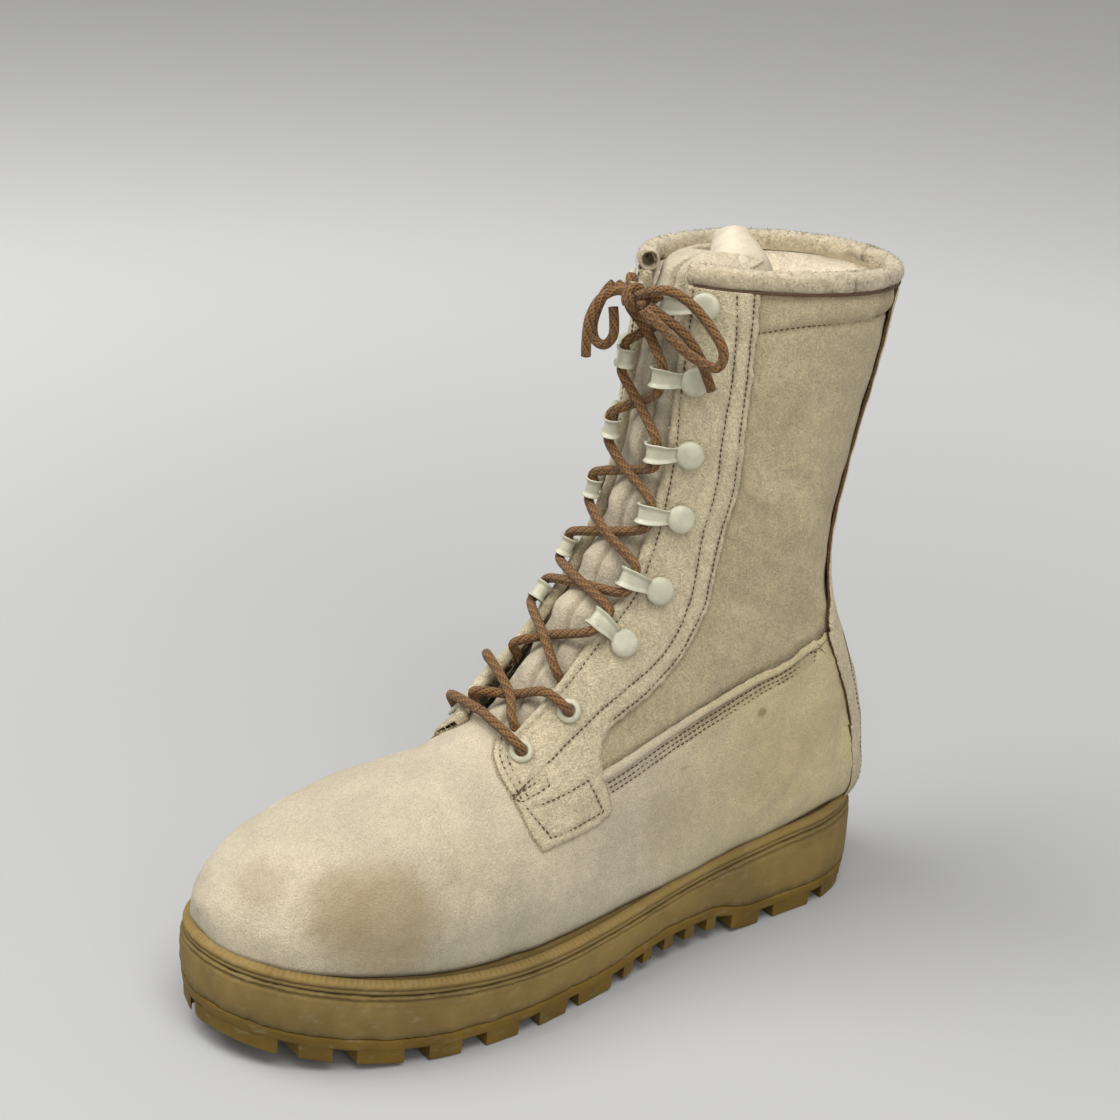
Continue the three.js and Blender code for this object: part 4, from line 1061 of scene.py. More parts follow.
def make_lower_panel():
    """Vamp and counter: one smooth panel from the toe to the heel, whose top edge is a raised bead."""
    toe_rows = np.linspace(0, 0.9, 14)[:-1]
    rows = np.concatenate([np.zeros(5), toe_rows, even_rows(0.9, 14.99, 0.27, 265)])
    limit = quarter_of(seam_limit(rows))
    row, turn, outer_turn, _ = both_sides(rows, (limit, limit), 291)
    base = face(row, turn)
    gap = nearest_of(base, [trail(SEAM, side) for side in (1, -1)])
    bead = np.clip(1 - ((gap - 2.2) / 2.5) ** 2, 0, 1) ** 0.5
    raised = np.where(gap < 4.7, -0.7 + 2.1 * bead, 0)
    raised -= 0.45 * np.exp(-((gap - 4.7) / 0.8) ** 2)
    raised += 0.25 * np.exp(-((gap - 11.3) / 1.6) ** 2)
    outside = np.interp(rows, BACKSTAY["row"], BACKSTAY["turn"], left=0)[:, None]
    clear = smoothstep(outer_turn, outside - 0.01, outside + 0.02)
    height = 0.5 + raised * np.where(row > 11.4, clear, 1) + heel_bulge(base)
    lines = [line_on(places, s, 0)[0] for places in triple_rows() for s in (1, -1)]
    # hollow is painted shade: in the stitch grooves and at the foot of the bead
    height, hollow = grooved(base, height, lines)
    hollow = np.maximum(hollow, 0.6 * np.exp(-((gap - 4.7) / 0.8) ** 2))
    height = creased(base, height)
    height += 0.35 * lumps(base, 34, 3) + 0.12 * lumps(base, 9, 4)
    points = base + face_normal(row, turn) * height[..., None]
    tip = points[4].mean(0)
    for ring, size in enumerate((0.02, 0.3, 0.6, 0.85)):
        points[ring] = tip + (points[4] - tip) * size + np.array([0.5 * (1 - size), 0, 0])
    for _ in range(14):
        points[1:15] = (points[:14] + 2 * points[1:15] + points[2:16]) / 4
    floor_z = sole_top(points[..., 0]) + 0.1
    deep = points[..., 2] < floor_z - 5
    points[..., 2] = np.maximum(points[..., 2], floor_z)
    above_sole = points[..., 2] - floor_z
    # painted shade where the panel meets the sole
    hollow = np.maximum(hollow, 1 - smoothstep(above_sole, 0.0, 3.0))
    faces = grid_faces(*turn.shape)
    faces = faces[~deep.ravel()[faces].all(1)]
    columns = turn.shape[1]
    whole = np.arange(len(rows))[rows < 7.15] * columns
    swap = np.arange(turn.size)
    swap[whole + columns - 1] = whole
    worn = 0.5 * np.exp(-((gap - 2.2) / 1.3) ** 2)
    worn = np.maximum(worn, 0.3 * smoothstep(points[..., 0], 262, 300))
    edge = np.exp(-(gap / 0.6) ** 2) * 0.7
    panel = add_mesh(
        "vamp_and_counter", points, swap[faces], finish_of("lower_suede"), "upper",
        {"hollow": hollow, "worn": worn, "edge": edge},
    )
    return facing_outward(panel, (150, 0, 60))


def facing_outward(piece, middle):
    """Turns a piece's faces outward from a middle in millimetres."""
    mesh = piece.data
    centre = (np.array(middle) - ORIGIN) / 1000
    count = len(mesh.polygons)
    where, normal = np.empty(count * 3), np.empty(count * 3)
    mesh.polygons.foreach_get("center", where)
    mesh.polygons.foreach_get("normal", normal)
    if ((where.reshape(-1, 3) - centre) * normal.reshape(-1, 3)).sum() < 0:
        mesh.flip_normals()
    return piece


def collar_line(turn):
    """The section row of the band's stitches below the collar, by turn on the outer side."""
    rows, turns = zip(*BAND_STITCH)
    return np.interp(turn, turns[::-1], rows[::-1])


def make_shaft():
    """The quarters: coarse suede from the lower panel to the collar, with a puffed band at the top."""
    rows = even_rows(7.6, 20, 0.25, 230)
    ends = [quarter_of(throat_turn(rows, side, 0.4)) for side in (1, -1)]
    row, turn, outer_turn, quarter = both_sides(rows, ends, 301)
    base = face(row, turn)
    height = np.full(row.shape, -0.5)
    band = collar_line(outer_turn)
    inside = np.clip((row - band) / (20 - band), 0, 1)
    height += np.where(row > band, 1.5 * np.sin(np.pi * inside) ** 0.8, 0)
    stitches = [line_on(smooth_line(BAND_STITCH), s, 0)[0] for s in (1, -1)]
    # hollow is painted shade: in the band's stitch grooves, along the seam with the lower panel and under
    # the facings' rear edges
    height, hollow = grooved(base, height, stitches, 0.7, 1.3)
    gap = nearest_of(base, [trail(SEAM, side) for side in (1, -1)])
    hollow = np.maximum(hollow, 0.55 * np.exp(-(gap / 2.2) ** 2))
    rear = smooth_line([p for p in FACING_REAR if p[0] > ABOVE_SEAM])
    by_facing = nearest_of(base, [line_on(rear, side, 0)[0] for side in (1, -1)])
    hollow = np.maximum(hollow, 0.6 * np.exp(-(by_facing / 1.8) ** 2))
    height = creased(base, height)
    height += 0.45 * lumps(base, 38, 13) + 0.2 * lumps(base, 11, 14)
    points = base + face_normal(row, turn) * height[..., None]
    faces = grid_faces(*turn.shape)
    limit = quarter_of(seam_limit(rows))[:, None] - 0.35
    hidden = quarter < np.where(rows[:, None] > 16.3, -1, limit)
    faces = faces[~hidden.ravel()[faces].all(1)]
    shaft = add_mesh(
        "shaft", points, faces, finish_of("shaft_suede"), "upper",
        {"hollow": hollow, "worn": np.zeros(row.shape), "edge": np.zeros(row.shape)},
    )
    return facing_outward(shaft, (60, 0, 180))


def make_lining():
    """The fleece inside the shaft and foot."""
    rows = even_rows(5.2, 20, 0.25, 150)
    open_rows = np.maximum(rows, 7.1)
    ends = [quarter_of(throat_turn(open_rows, side, 0.6)) for side in (1, -1)]
    ends = [np.where(rows < 7.1, 1.98, end) for end in ends]
    row, turn, _, _ = both_sides(rows, ends, 181)
    base = face(row, turn)
    height = -2.9 + 0.35 * lumps(base, 7, 21) + 0.3 * lumps(base, 23, 22)
    points = base + face_normal(row, turn) * height[..., None]
    low = sole_top(points[..., 0]) + 4.0
    deep = points[..., 2] < low - 6
    points[..., 2] = np.maximum(points[..., 2], low)
    faces = grid_faces(*turn.shape)
    faces = faces[~deep.ravel()[faces].all(1)]
    lining = add_mesh(
        "lining", points, faces, finish_of("fleece"), "upper",
        {"edge": np.zeros(row.shape)},
    )
    facing_outward(lining, (60, 0, 180))
    lining.data.flip_normals()
    return lining


def facing_grid(side, count_along=280, count_across=57):
    """Rows and turns over a facing, and how far across it each column is, from 0 to 1."""
    rear = smooth_line(FACING_REAR, 14)
    walked = walked_along(face(rear[:, 0], side_turn(rear[:, 1], side)))
    even = np.linspace(0, walked[-1], count_along)
    rear_row, rear_turn = np.interp(even, walked, rear[:, 0]), np.interp(even, walked, rear[:, 1])
    front_row = np.interp(rear_row, [6.73, 7.86, 8.12, 8.7, 20], [7.02, 7.62, 7.78, 8.62, 20])
    front_turn = throat_turn(front_row, side, 0.3)
    u = np.linspace(0, 1, count_across)[None]
    v = np.linspace(0, 1, count_along)[:, None]
    row = front_row[:, None] * (1 - u) + rear_row[:, None] * u
    turn = front_turn[:, None] * (1 - u) + rear_turn[:, None] * u
    foot = smooth_line(FACING_FRONT[::-1], 12)
    foot_at = np.linspace(0, 1, len(foot))
    first = np.stack([np.interp(u[0], foot_at, foot[:, k]) for k in (0, 1)], 1)
    straight = np.stack([row[0], turn[0]], 1)
    fade = (1 - np.clip(v / 0.16, 0, 1)) ** 2
    row = row + fade * (first - straight)[None, :, 0]
    turn = turn + fade * (first - straight)[None, :, 1]
    return row, turn, u


def make_facing(side):
    """A facing with its tab: two layers of coarse suede with raw edges, rolled over at the throat."""
    row, turn, u = facing_grid(side)
    turn = side_turn(turn, side)
    base = face(row, turn)
    rim = np.concatenate([base[0], base[:, -1]])
    rim_gap = nearest(base, rim)
    throat_gap = nearest(base, base[:, 0])
    ragged = 0.35 * lumps(base, 2.6, 31) + 0.25 * lumps(base, 6, 32)
    height = 2.1 - 0.9 * np.exp(-(rim_gap / 0.8) ** 2) + 0.3 * lumps(base, 14, 33 + side)
    height -= 1.3 * np.exp(-(throat_gap / 0.9) ** 2)
    free_edge = np.concatenate([base[row[:, 0] < 10, 0], base[0, u[0] < 0.45]])
    lift = flap(row, nearest(base, free_edge), side)
    lines = [line_on(places, side, 0)[0] for places in facing_rows(side)]
    # hollow is painted shade in the stitch grooves
    height, hollow = grooved(base, height, lines, 0.45, 0.9)
    out = face_normal(row, turn)
    back = np.where(throat_gap < 5, -2.95, np.where(row > 8.05, -0.3, 0.55)) + lift
    front = base + out * (height + lift)[..., None]
    rear_shift = np.gradient(base, axis=1)
    rear_shift /= np.maximum(np.linalg.norm(rear_shift, axis=-1, keepdims=True), 1e-6)
    near_rim = np.exp(-(rim_gap / 1.2) ** 2)[..., None]
    front = front + rear_shift * near_rim * ragged[..., None] * (u > 0.5)[..., None]
    behind = base + out * back[..., None]
    points, faces, edge = thick_sheet(front, behind)
    pad = np.zeros(len(points) - row.size)
    edge_front = np.concatenate([np.exp(-(rim_gap / 0.55) ** 2).ravel() * 0.8, pad])
    values = {"hollow": np.concatenate([hollow.ravel(), pad]), "edge": np.maximum(edge, edge_front),
              "worn": np.concatenate([0.5 * np.exp(-(throat_gap / 1.5) ** 2).ravel(), pad])}
    node = f"facing_{SIDE_NAMES[side]}"
    facing = add_mesh(f"{node}_suede", points, faces, finish_of("facing_suede"), node, values)
    return facing_outward(facing, (90, 0, 120))


def make_backstay():
    """The strip up the heel, of thick leather with dark raw edges."""
    rows = even_rows(11.25, 20, 0.02, 200)
    half = quarter_of(np.interp(rows, BACKSTAY["row"], BACKSTAY["turn"]))
    columns = 61
    row, turn, _, _ = both_sides(rows, (half, half), columns)
    base = face(row, turn)
    side_gap = nearest_of(base, (base[:, 0], base[:, -1]))
    height = 1.65 - 0.3 * np.exp(-(side_gap / 0.6) ** 2) + 0.2 * lumps(base, 12, 41)
    lines = [base[:, k] for k in (8, -9)]
    # hollow is painted shade in the stitch grooves
    height, hollow = grooved(base, height, lines, 0.45, 0.9)
    out = face_normal(row, turn)
    near_edge = np.abs(np.linspace(-1, 1, columns))[None, :, None] ** 6
    wave = (0.35 * lumps(base, 4, 42))[..., None] * np.gradient(base, axis=1) * near_edge
    swell = heel_bulge(base)[..., None]
    front = base + out * (height[..., None] + swell) + wave
    back = base + out * (0.1 + swell) + wave
    points, faces, edge = thick_sheet(front, back)
    pad = np.zeros(len(points) - row.size)
    strip = add_mesh(
        "backstay_strip", points, faces, finish_of("facing_suede"), "backstay",
        {"hollow": np.concatenate([hollow.ravel(), pad]), "edge": edge, "worn": np.zeros(len(points))},
    )
    strip.data.materials.append(finish_of("raw_edge"))
    rim_start = 2 * row.size
    for polygon in strip.data.polygons:
        if any(i >= rim_start for i in polygon.vertices):
            polygon.material_index = 1
    return facing_outward(strip, (60, 0, 180))


# The tongue's free rim, from its outer end round the front to its inner end.
TONGUE_RIM = [
    (79, 19.5, 279.5), (87, 16, 281.5), (93.5, 10.5, 282), (97, 2.5, 281.5), (95, -6, 280),
    (86, -11, 279.5), (75, -11, 279),
]
TONGUE_HALF_WIDTH = 27.0


def make_tongue():
    """The tongue: soft pillows between the laces, with its free top rolled back into the shaft."""
    rows = even_rows(6.5, 20, 0.5, 196)
    depth = np.interp(rows, (6.5, 16, 20), (4.5, 4.3, 6.6))
    starts = [turn_at_width(rows, TONGUE_HALF_WIDTH, s) for s in (1, -1)]
    share = np.linspace(0, 1, 87)
    low, high = starts[0], 1 - starts[1]
    turn = low[:, None] * (1 - share[None]) + high[:, None] * share[None]
    row = np.broadcast_to(rows[:, None], turn.shape)
    base = face(row, turn)
    width = base[..., 1]
    opening = np.interp(rows, THROAT["row"], THROAT["outer"])[:, None]
    pillow = np.clip(1 - (width / (opening + 3)) ** 2, 0, 1)
    strand_gap = nearest(base, np.concatenate([lace_path(1), lace_path(-1)]))
    pressed = np.exp(-(strand_gap / 6.5) ** 2)
    height = -depth[:, None] + pillow ** 0.8 * (5.0 - 3.8 * pressed) * smoothstep(20 - row, 0, 1.2)
    crease = np.exp(-((width - 4.0 - 1.5 * lumps(base, 60, 51)) / 1.6) ** 2)
    height = height - 2.2 * crease * (1 - 0.5 * pressed) + 0.3 * lumps(base, 19, 52)
    front = base + face_normal(row, turn) * height[..., None]
    rim = smooth_line(TONGUE_RIM, 20)
    even = np.linspace(0, 1, len(rim))
    rim = np.stack([np.interp(share, even, rim[:, k]) for k in range(3)], 1)
    start = front[-1]
    upward = unit(front[-1] - front[-4])
    steps = np.linspace(0, 1, 46)[1:, None, None]
    reach = np.linalg.norm(rim - start, axis=1, keepdims=True)
    bend = upward * reach * 1.1
    settle = (rim - start) * 0.9 - upward * reach * 0.25
    t2, t3 = steps ** 2, steps ** 3
    top = (2 * t3 - 3 * t2 + 1) * start + (t3 - 2 * t2 + steps) * bend
    top = top + (3 * t2 - 2 * t3) * rim + (t3 - t2) * settle
    front = np.concatenate([front, top])
    out = grid_normals(front, np.array([60.0, 0, 200]))
    back = front - out * 2.2
    points, faces, edge = thick_sheet(front, back)
    hollow = np.zeros(len(points))
    # painted shade in the crease and under the lace's strands
    hollow[: row.size] = np.maximum(0.5 * crease, 0.35 * np.exp(-(strand_gap / 3.0) ** 2)).ravel()
    tongue = add_mesh(
        "tongue_leather", points, faces, finish_of("tongue_suede"), "tongue",
        {"hollow": hollow, "edge": edge * 0.5, "worn": edge * 0.6},
    )
    tongue.data.materials.append(finish_of("grain"))
    first, last = front.size // 3, 2 * front.size // 3
    for polygon in tongue.data.polygons:
        if all(first <= i < last for i in polygon.vertices):
            polygon.material_index = 1
    make_tongue_cone()
    return facing_outward(tongue, (60, 0, 200))


# The rolled top's centres, and its radius at each.
CONE = [
    (83, 8, 260, 15), (82.5, 7.5, 267, 15), (81.5, 6.4, 273, 14.2), (80.5, 4.2, 277, 11.4),
    (79.5, 1, 280.5, 8.8), (78.5, -2, 284.5, 7.2),
]


def make_tongue_cone():
    """The tongue's top, rolled up behind its front flap, smooth side out and open at the end."""
    table = smooth_line(CONE, 8)
    centre, radius = table[:, :3], table[:, 3]
    ahead = unit(np.gradient(centre, axis=0))
    aside = unit(np.cross(ahead, [0.0, 1.0, 0.3]))
    above = np.cross(ahead, aside)
    angle = np.linspace(0, 2 * np.pi, 72, endpoint=False)
    wave = 1 + 0.035 * np.sin(2 * angle + 0.6) + 0.02 * np.sin(5 * angle)

    def ring(k, less, lift=0.0):
        size = radius[k] * wave - less
        around = np.cos(angle)[:, None] * aside[k] + np.sin(angle)[:, None] * above[k]
        return centre[k] + ahead[k] * lift + size[:, None] * around

    last = len(centre) - 1
    outside = [ring(k, 0) for k in range(last + 1)]
    lip = [ring(last, 0.25, 0.5), ring(last, 1.0, 0.75), ring(last, 1.7, 0.5)]
    inside = [ring(k, 1.9) for k in range(last, 6, -4)]
    points, faces = ring_form(outside + lip + inside)
    cone = add_mesh("tongue_rolled_top", points, faces, finish_of("grain"))
    return facing_outward(cone, (82, 3, 276))


ROLL_HEIGHT, ROLL_WIDTH = 8.2, 7.6
UP = np.array([0, 0, 1.0])


def make_collar_roll():
    """The padded roll round the collar, open and hollow at its two front ends."""
    ends = [throat_turn(20.0, s, 1.5) for s in (1, -1)]
    quarters = np.linspace(-quarter_of(ends[1]), quarter_of(ends[0]), 170)
    turn = np.where(quarters < 0, -turn_of(-quarters), turn_of(quarters)) % 1
    top = np.full(len(turn), 20.0)
    line = off_face(top, turn, np.full(len(turn), -1.5))
    line[:, 2] = face(top, turn)[:, 2]
    out = unit(face_normal(top, turn) * [1, 1, 0])
    ahead = unit(np.gradient(line, axis=0))
    angle = np.linspace(0, 2 * np.pi, 40, endpoint=False)
    size = 1 + 0.025 * np.sin(np.arange(len(line)) * 0.47) + 0.02 * np.sin(np.arange(len(line)) * 0.19)
    around = np.stack([np.cos(angle), np.sin(angle)], 1)
    superround = np.sign(around) * np.abs(around) ** 0.86
    across = superround[:, :1] * out[:, None] * ROLL_WIDTH / 2
    section = across + superround[:, 1:] * UP * ROLL_HEIGHT / 2
    rings = (line + UP * (ROLL_HEIGHT / 2 + 0.2))[:, None] + section * size[:, None, None]
    rings += out[:, None] * (0.25 * lumps(rings, 7, 61))[..., None]
    make_fuzz(line, out)
    seam = line[1:-1] + out[1:-1] * (ROLL_WIDTH / 2 - 0.9) + UP * 0.35
    points, faces, *_ = tube(seam, 0.55, 8)
    add_mesh("roll_seam", points, faces, finish_of("thread"))
    middle = rings.mean(1, keepdims=True)

    def mouth(end, way):
        """Rings that turn in at an open end and run back inside the roll."""
        direction = ahead[end] * way
        hole = rings[end] - middle[end]
        steps = [
            (0.96, 0.5), (0.86, 0.75), (0.74, 0.5), (0.68, -0.6), (0.66, -3), (0.6, -6), (0.1, -6.6),
        ]
        return [middle[end] + hole * scale + direction * shift for scale, shift in steps]

    grid = np.array(mouth(0, -1)[::-1] + list(rings) + mouth(-1, 1))
    points, faces = ring_form(grid)
    # edge marks the rings inside each open end, which the fleece darkens as painted shade
    edge = np.zeros(grid.shape[:2])
    edge[:5] = edge[-5:] = 1
    roll = add_mesh(
        "collar_padding", points, faces, finish_of("roll_fleece"), "collar_roll", {"edge": edge},
    )
    return facing_outward(roll, (60, 0, 274))


# ---- Hooks and eyelets ------------------------------------------------------------------------------


def turned(profile, sides=44):
    """A turned form from (radius, height) pairs."""
    angle = np.linspace(0, 2 * np.pi, sides, endpoint=False)
    circle = np.stack([np.cos(angle), np.sin(angle), np.zeros(sides)], 1)
    return ring_form([circle * radius + UP * height for radius, height in profile])


EYELET_PROFILE = [
    (2.3, -4.6), (2.9, -4.6), (2.95, -0.6), (4.55, -0.5), (4.72, -0.2), (4.7, 0.15), (4.5, 0.55),
    (4.1, 0.85), (3.6, 1.05), (3.1, 1.15), (2.75, 1.08), (2.5, 0.85), (2.35, 0.45), (2.3, 0.0),
    (2.3, -4.6),
]
CAP_PROFILE = [
    (0.05, 2.72), (1.8, 2.7), (3.2, 2.6), (4.3, 2.35), (5.0, 1.95), (5.4, 1.4), (5.5, 0.8), (5.5, 0.15),
    (5.2, -0.25), (0.05, -0.25),
]


def make_eyelet(i, side):
    origin, axes = eyelet_frame(i, side)
    local, faces = turned(EYELET_PROFILE)
    name = f"eyelet_{SIDE_NAMES[side]}_{i + 1}"
    piece = add_mesh(f"{name}_ring", origin + local @ axes, faces, finish_of("enamel"), name)
    return facing_outward(piece, origin)


def hook_strap():
    """A hook's strap: a lipped channel that rises to the throat and curls under round the lace."""
    bend, curl, dip, thick, columns = 13.8, 2.4, 1.8, 1.1, 25
    top = 2 * curl + 0.6 - dip
    low = [(-3.2, 0.7), (1.0, 0.75), (4.6, 1.1), (6.6, 2.3), (8.4, 3.2), (10.8, 3.55), (bend, top)]
    angles = np.radians(np.linspace(75, -118, 12))
    arc = np.stack([np.cos(angles), np.sin(angles)], 1) * (curl + 0.55) + [bend, curl - dip]
    middle = even_line(smooth_line(np.concatenate([low, arc]), 8), 0.45)
    ahead = unit(np.gradient(middle, axis=0))
    out = np.stack([-ahead[:, 1], ahead[:, 0]], 1)
    along = np.linspace(0, 1, len(middle))
    across = np.linspace(-1, 1, columns)
    half = 2.75 + 0.85 * smoothstep(along, 0.32, 0.6) - 0.3 * smoothstep(along, 0.8, 1.0)
    lip = 1.15 * smoothstep(along, 0.12, 0.4) * (1 - 0.35 * smoothstep(along, 0.85, 1.0))
    raised = lip[:, None] * smoothstep(np.abs(across), 0.5, 1.0)[None] - 0.15 * lip[:, None]
    place = middle[:, None] + out[:, None] * raised[..., None]
    side = half[:, None] * across[None]
    front = np.stack([place[..., 0], side, place[..., 1]], -1)
    shift = np.stack([out[:, 0], np.zeros(len(out)), out[:, 1]], -1) * thick
    points, faces, _ = thick_sheet(front, front - shift[:, None])
    return points, faces.tolist()


def make_hook(i, side, strap):
    origin, axes = hook_frame(i, side)
    local, faces, *_ = joined([strap, turned(CAP_PROFILE)])
    name = f"hook_{SIDE_NAMES[side]}_{i + 1}"
    piece = add_mesh(f"{name}_metal", origin + local @ axes, faces, finish_of("enamel"), name)
    return facing_outward(piece, origin)


# ---- Sewing and loose fibres ------------------------------------------------------------------------


def stitch_template(size, across):
    """One stitch along x, a little fatter in the middle, with its ends sunk."""
    s = np.array([-1, -0.86, -0.5, 0, 0.5, 0.86, 1])
    radius = np.array([0.05, 0.62, 0.95, 1.0, 0.95, 0.62, 0.05]) * across / 2
    drop = np.array([-0.5, -0.22, 0, 0.06, 0, -0.22, -0.5]) * across
    angle = np.linspace(0, 2 * np.pi, 6, endpoint=False)
    return ring_form([
        np.stack([np.full(6, x * size / 2), r * np.cos(angle), r * np.sin(angle) + d], 1)
        for x, r, d in zip(s, radius, drop)
    ])


def make_stitches():
    """Every row of stitches, as one mesh."""
    sizes = bpy.context.scene.boot_sizes
    size, gap, across = sizes.stitch * 1000, sizes.stitch_gap * 1000, sizes.thread * 1000
    template, faces = stitch_template(size, across)
    parts, rows = [], []
    for side in (1, -1):
        rows += [(places, side, 0.28) for places in triple_rows()]
        rows += [(places, side, 1.85) for places in facing_rows(side)]
        rows.append((smooth_line(BAND_STITCH), side, -0.85))
    for places, side, height in rows:
        line, normals = line_on(places, side, height, size + gap)
        frames = frames_along(line, normals)
        line = line + RANDOM.normal(0, 0.06, line.shape)
        parts.append(repeat(template, faces, line, frames))
    rows = even_rows(11.6, 19.9, 0.02, int(275 / (size + gap)))
    half = np.interp(rows, BACKSTAY["row"], BACKSTAY["turn"])
    for side in (1, -1):
        turn = side_turn(turn_of(quarter_of(half) * 0.74), side)
        line = off_face(rows, turn, 1.4 + heel_bulge(face(rows, turn)))
        parts.append(repeat(template, faces, line, frames_along(line, face_normal(rows, turn))))
    points, faces = joined(parts)
    return add_mesh("sewing", points, faces, finish_of("thread"))


def make_hairs(name, places, aims, tall, thick, lean, finish):
    """Fine tapered hairs as one mesh: where each starts, its aim and height, and how far they lean."""
    count = len(places)
    template = np.array([(0, -thick, 0), (0, thick, 0), (0.5, 0, 2 * thick + lean[0]), (1, 0, 0)])
    faces = [(0, 1, 2), (0, 2, 3), (1, 3, 2), (0, 3, 1)]
    aims = unit(aims)
    spare = unit(np.cross(aims, RANDOM.normal(size=aims.shape)))
    frames = np.stack([aims, spare, np.cross(aims, spare)], 1)
    height = tall[0] * RANDOM.uniform(*tall[1:], count)
    sizes = np.stack([height, np.ones(count), height * RANDOM.normal(0, lean[1], count)], 1)
    points, faces = repeat(template, faces, places, frames, sizes)
    return add_mesh(name, points, faces, finish_of(finish))


def make_fibres():
    """Loose fibres along the raw edges and the roll's ends."""
    reach = bpy.context.scene.boot_sizes.fray * 1000
    by_throat, by_roll = 500, 160
    places, aims = [], []
    for side in (1, -1):
        for outline, count in ((FACING_REAR, 1800), (FACING_FRONT, 900)):
            line, normals = line_on(smooth_line(outline, 10), side, 1.6, 0.35)
            across = unit(np.cross(normals, np.gradient(line, axis=0)) * side)
            pick = RANDOM.integers(0, len(line), count)
            jitter = RANDOM.normal(0, 0.5, (count, 3))
            places.append(line[pick] - normals[pick] * RANDOM.uniform(0, 1.4, (count, 1)))
            aims.append(across[pick] + jitter)
        top = np.linspace(7.3, 19.9, by_throat)
        turn = side_turn(throat_turn(top, side, 0.2), side)
        line, normals = off_face(top, turn, np.full(by_throat, 1.2)), face_normal(top, turn)
        places.append(line - normals * RANDOM.uniform(0, 2.5, (by_throat, 1)))
        aims.append(np.array([0, -side, 0]) + RANDOM.normal(0, 0.5, (by_throat, 3)))
        end_turn = side_turn(throat_turn(20.0, side, 1.5), side)
        middle = face(20.0, end_turn) + UP * ROLL_HEIGHT / 2
        angle = RANDOM.uniform(0, 2 * np.pi, by_roll)[:, None]
        out = face_normal(20.0, end_turn) * [1, 1, 0]
        places.append(middle + out * np.cos(angle) * 3.6 + UP * np.sin(angle) * 3.9)
        aims.append(np.array([0.8, -side * 0.6, 0]) + RANDOM.normal(0, 0.5, (by_roll, 3)))
    places, aims = np.concatenate(places), np.concatenate(aims)
    return make_hairs("fray", places, aims, (reach, 0.4, 1.5), 0.09, (-0.04, 1.0), "fibre")


def make_fuzz(line, out):
    """Short wool standing off the collar's roll."""
    count = 9000
    pick = RANDOM.integers(2, len(line) - 2, count)
    angle = RANDOM.uniform(-0.9, 3.6, count)[:, None]
    aside, above = np.cos(angle) * out[pick], np.sin(angle) * UP
    middle = line[pick] + (line[pick + 1] - line[pick]) * RANDOM.uniform(0, 1, (count, 1))
    middle = middle + UP * (ROLL_HEIGHT / 2 + 0.2)
    places = middle + aside * (ROLL_WIDTH / 2 - 0.1) + above * (ROLL_HEIGHT / 2 - 0.1)
    aims = aside + above + RANDOM.normal(0, 0.7, (count, 3))
    return make_hairs("roll_fuzz", places, aims, (1, 0.4, 1.3), 0.07, (0.02, 1.2), "roll_fleece")


# ---- Sole -------------------------------------------------------------------------------------------


def swept(profile, count, ripple=None):
    """A band round the sole. profile has (inset, height at a heel-to-toe place) pairs, from low to high."""
    plan, out, walked = sole_perimeter(count)
    grid = []
    for k, (inset, height) in enumerate(profile):
        more = ripple(k, plan, walked)[:, None] if ripple else 0.0
        grid.append(np.column_stack([plan - out * (inset - more), height(plan[:, 0])]))
    return np.array(grid), walked


def outsole_top(x):
    return tread_height(x) + LUG_DEPTH + OUTSOLE_SLAB


def make_midsole():
    """The midsole's side, dull and dirty, with two thin parting lines."""
    low = lambda x: outsole_top(x) + 0.15
    high = lambda x: sole_top(x) - 5.2
    at = lambda share, more=0.0: (lambda x: low(x) * (1 - share) + high(x) * share + more)
    profile = [
        (22, at(0)), (6, at(0)), (1.3, at(0)), (0.75, at(0, 0.25)), (0.45, at(0.12)),
        (0.15, at(0.25)), (0.05, at(0.4)), (0.05, at(0.55)), (0.2, at(0.68)), (0.4, at(0.78)),
        (0.6, at(0.86)), (1.3, at(0.895)), (1.35, at(0.92)), (0.7, at(0.95)), (0.9, at(0.985)),
        (1.5, at(1)), (6, at(1)), (22, at(1)),
    ]
    grid, _ = swept(profile, 720)
    out = grid_normals(grid.transpose(1, 0, 2), np.array([150.0, 0, 20])).transpose(1, 0, 2)
    rough = (0.16 * lumps(grid, 3.2, 71) + 0.22 * lumps(grid, 11, 72))[..., None]
    grid[2:-2] += (out * rough)[2:-2]
    # hollow is painted shade: in the parting lines, along the foot and under the rim
    hollow = np.zeros(grid.shape[:2])
    hollow[11:13] = 0.45
    hollow[2:4] = 0.35
    hollow[-3:] = 0.9
    worn = np.zeros(grid.shape[:2])
    worn[5:9] = 0.25
    points, faces = ring_form(grid, low_end=True, high_end=True)
    piece = add_mesh(
        "midsole_side", points, faces, finish_of("midsole_rubber"), "midsole",
        {"hollow": hollow, "worn": worn},
    )
    return facing_outward(piece, (150, 0, 25))


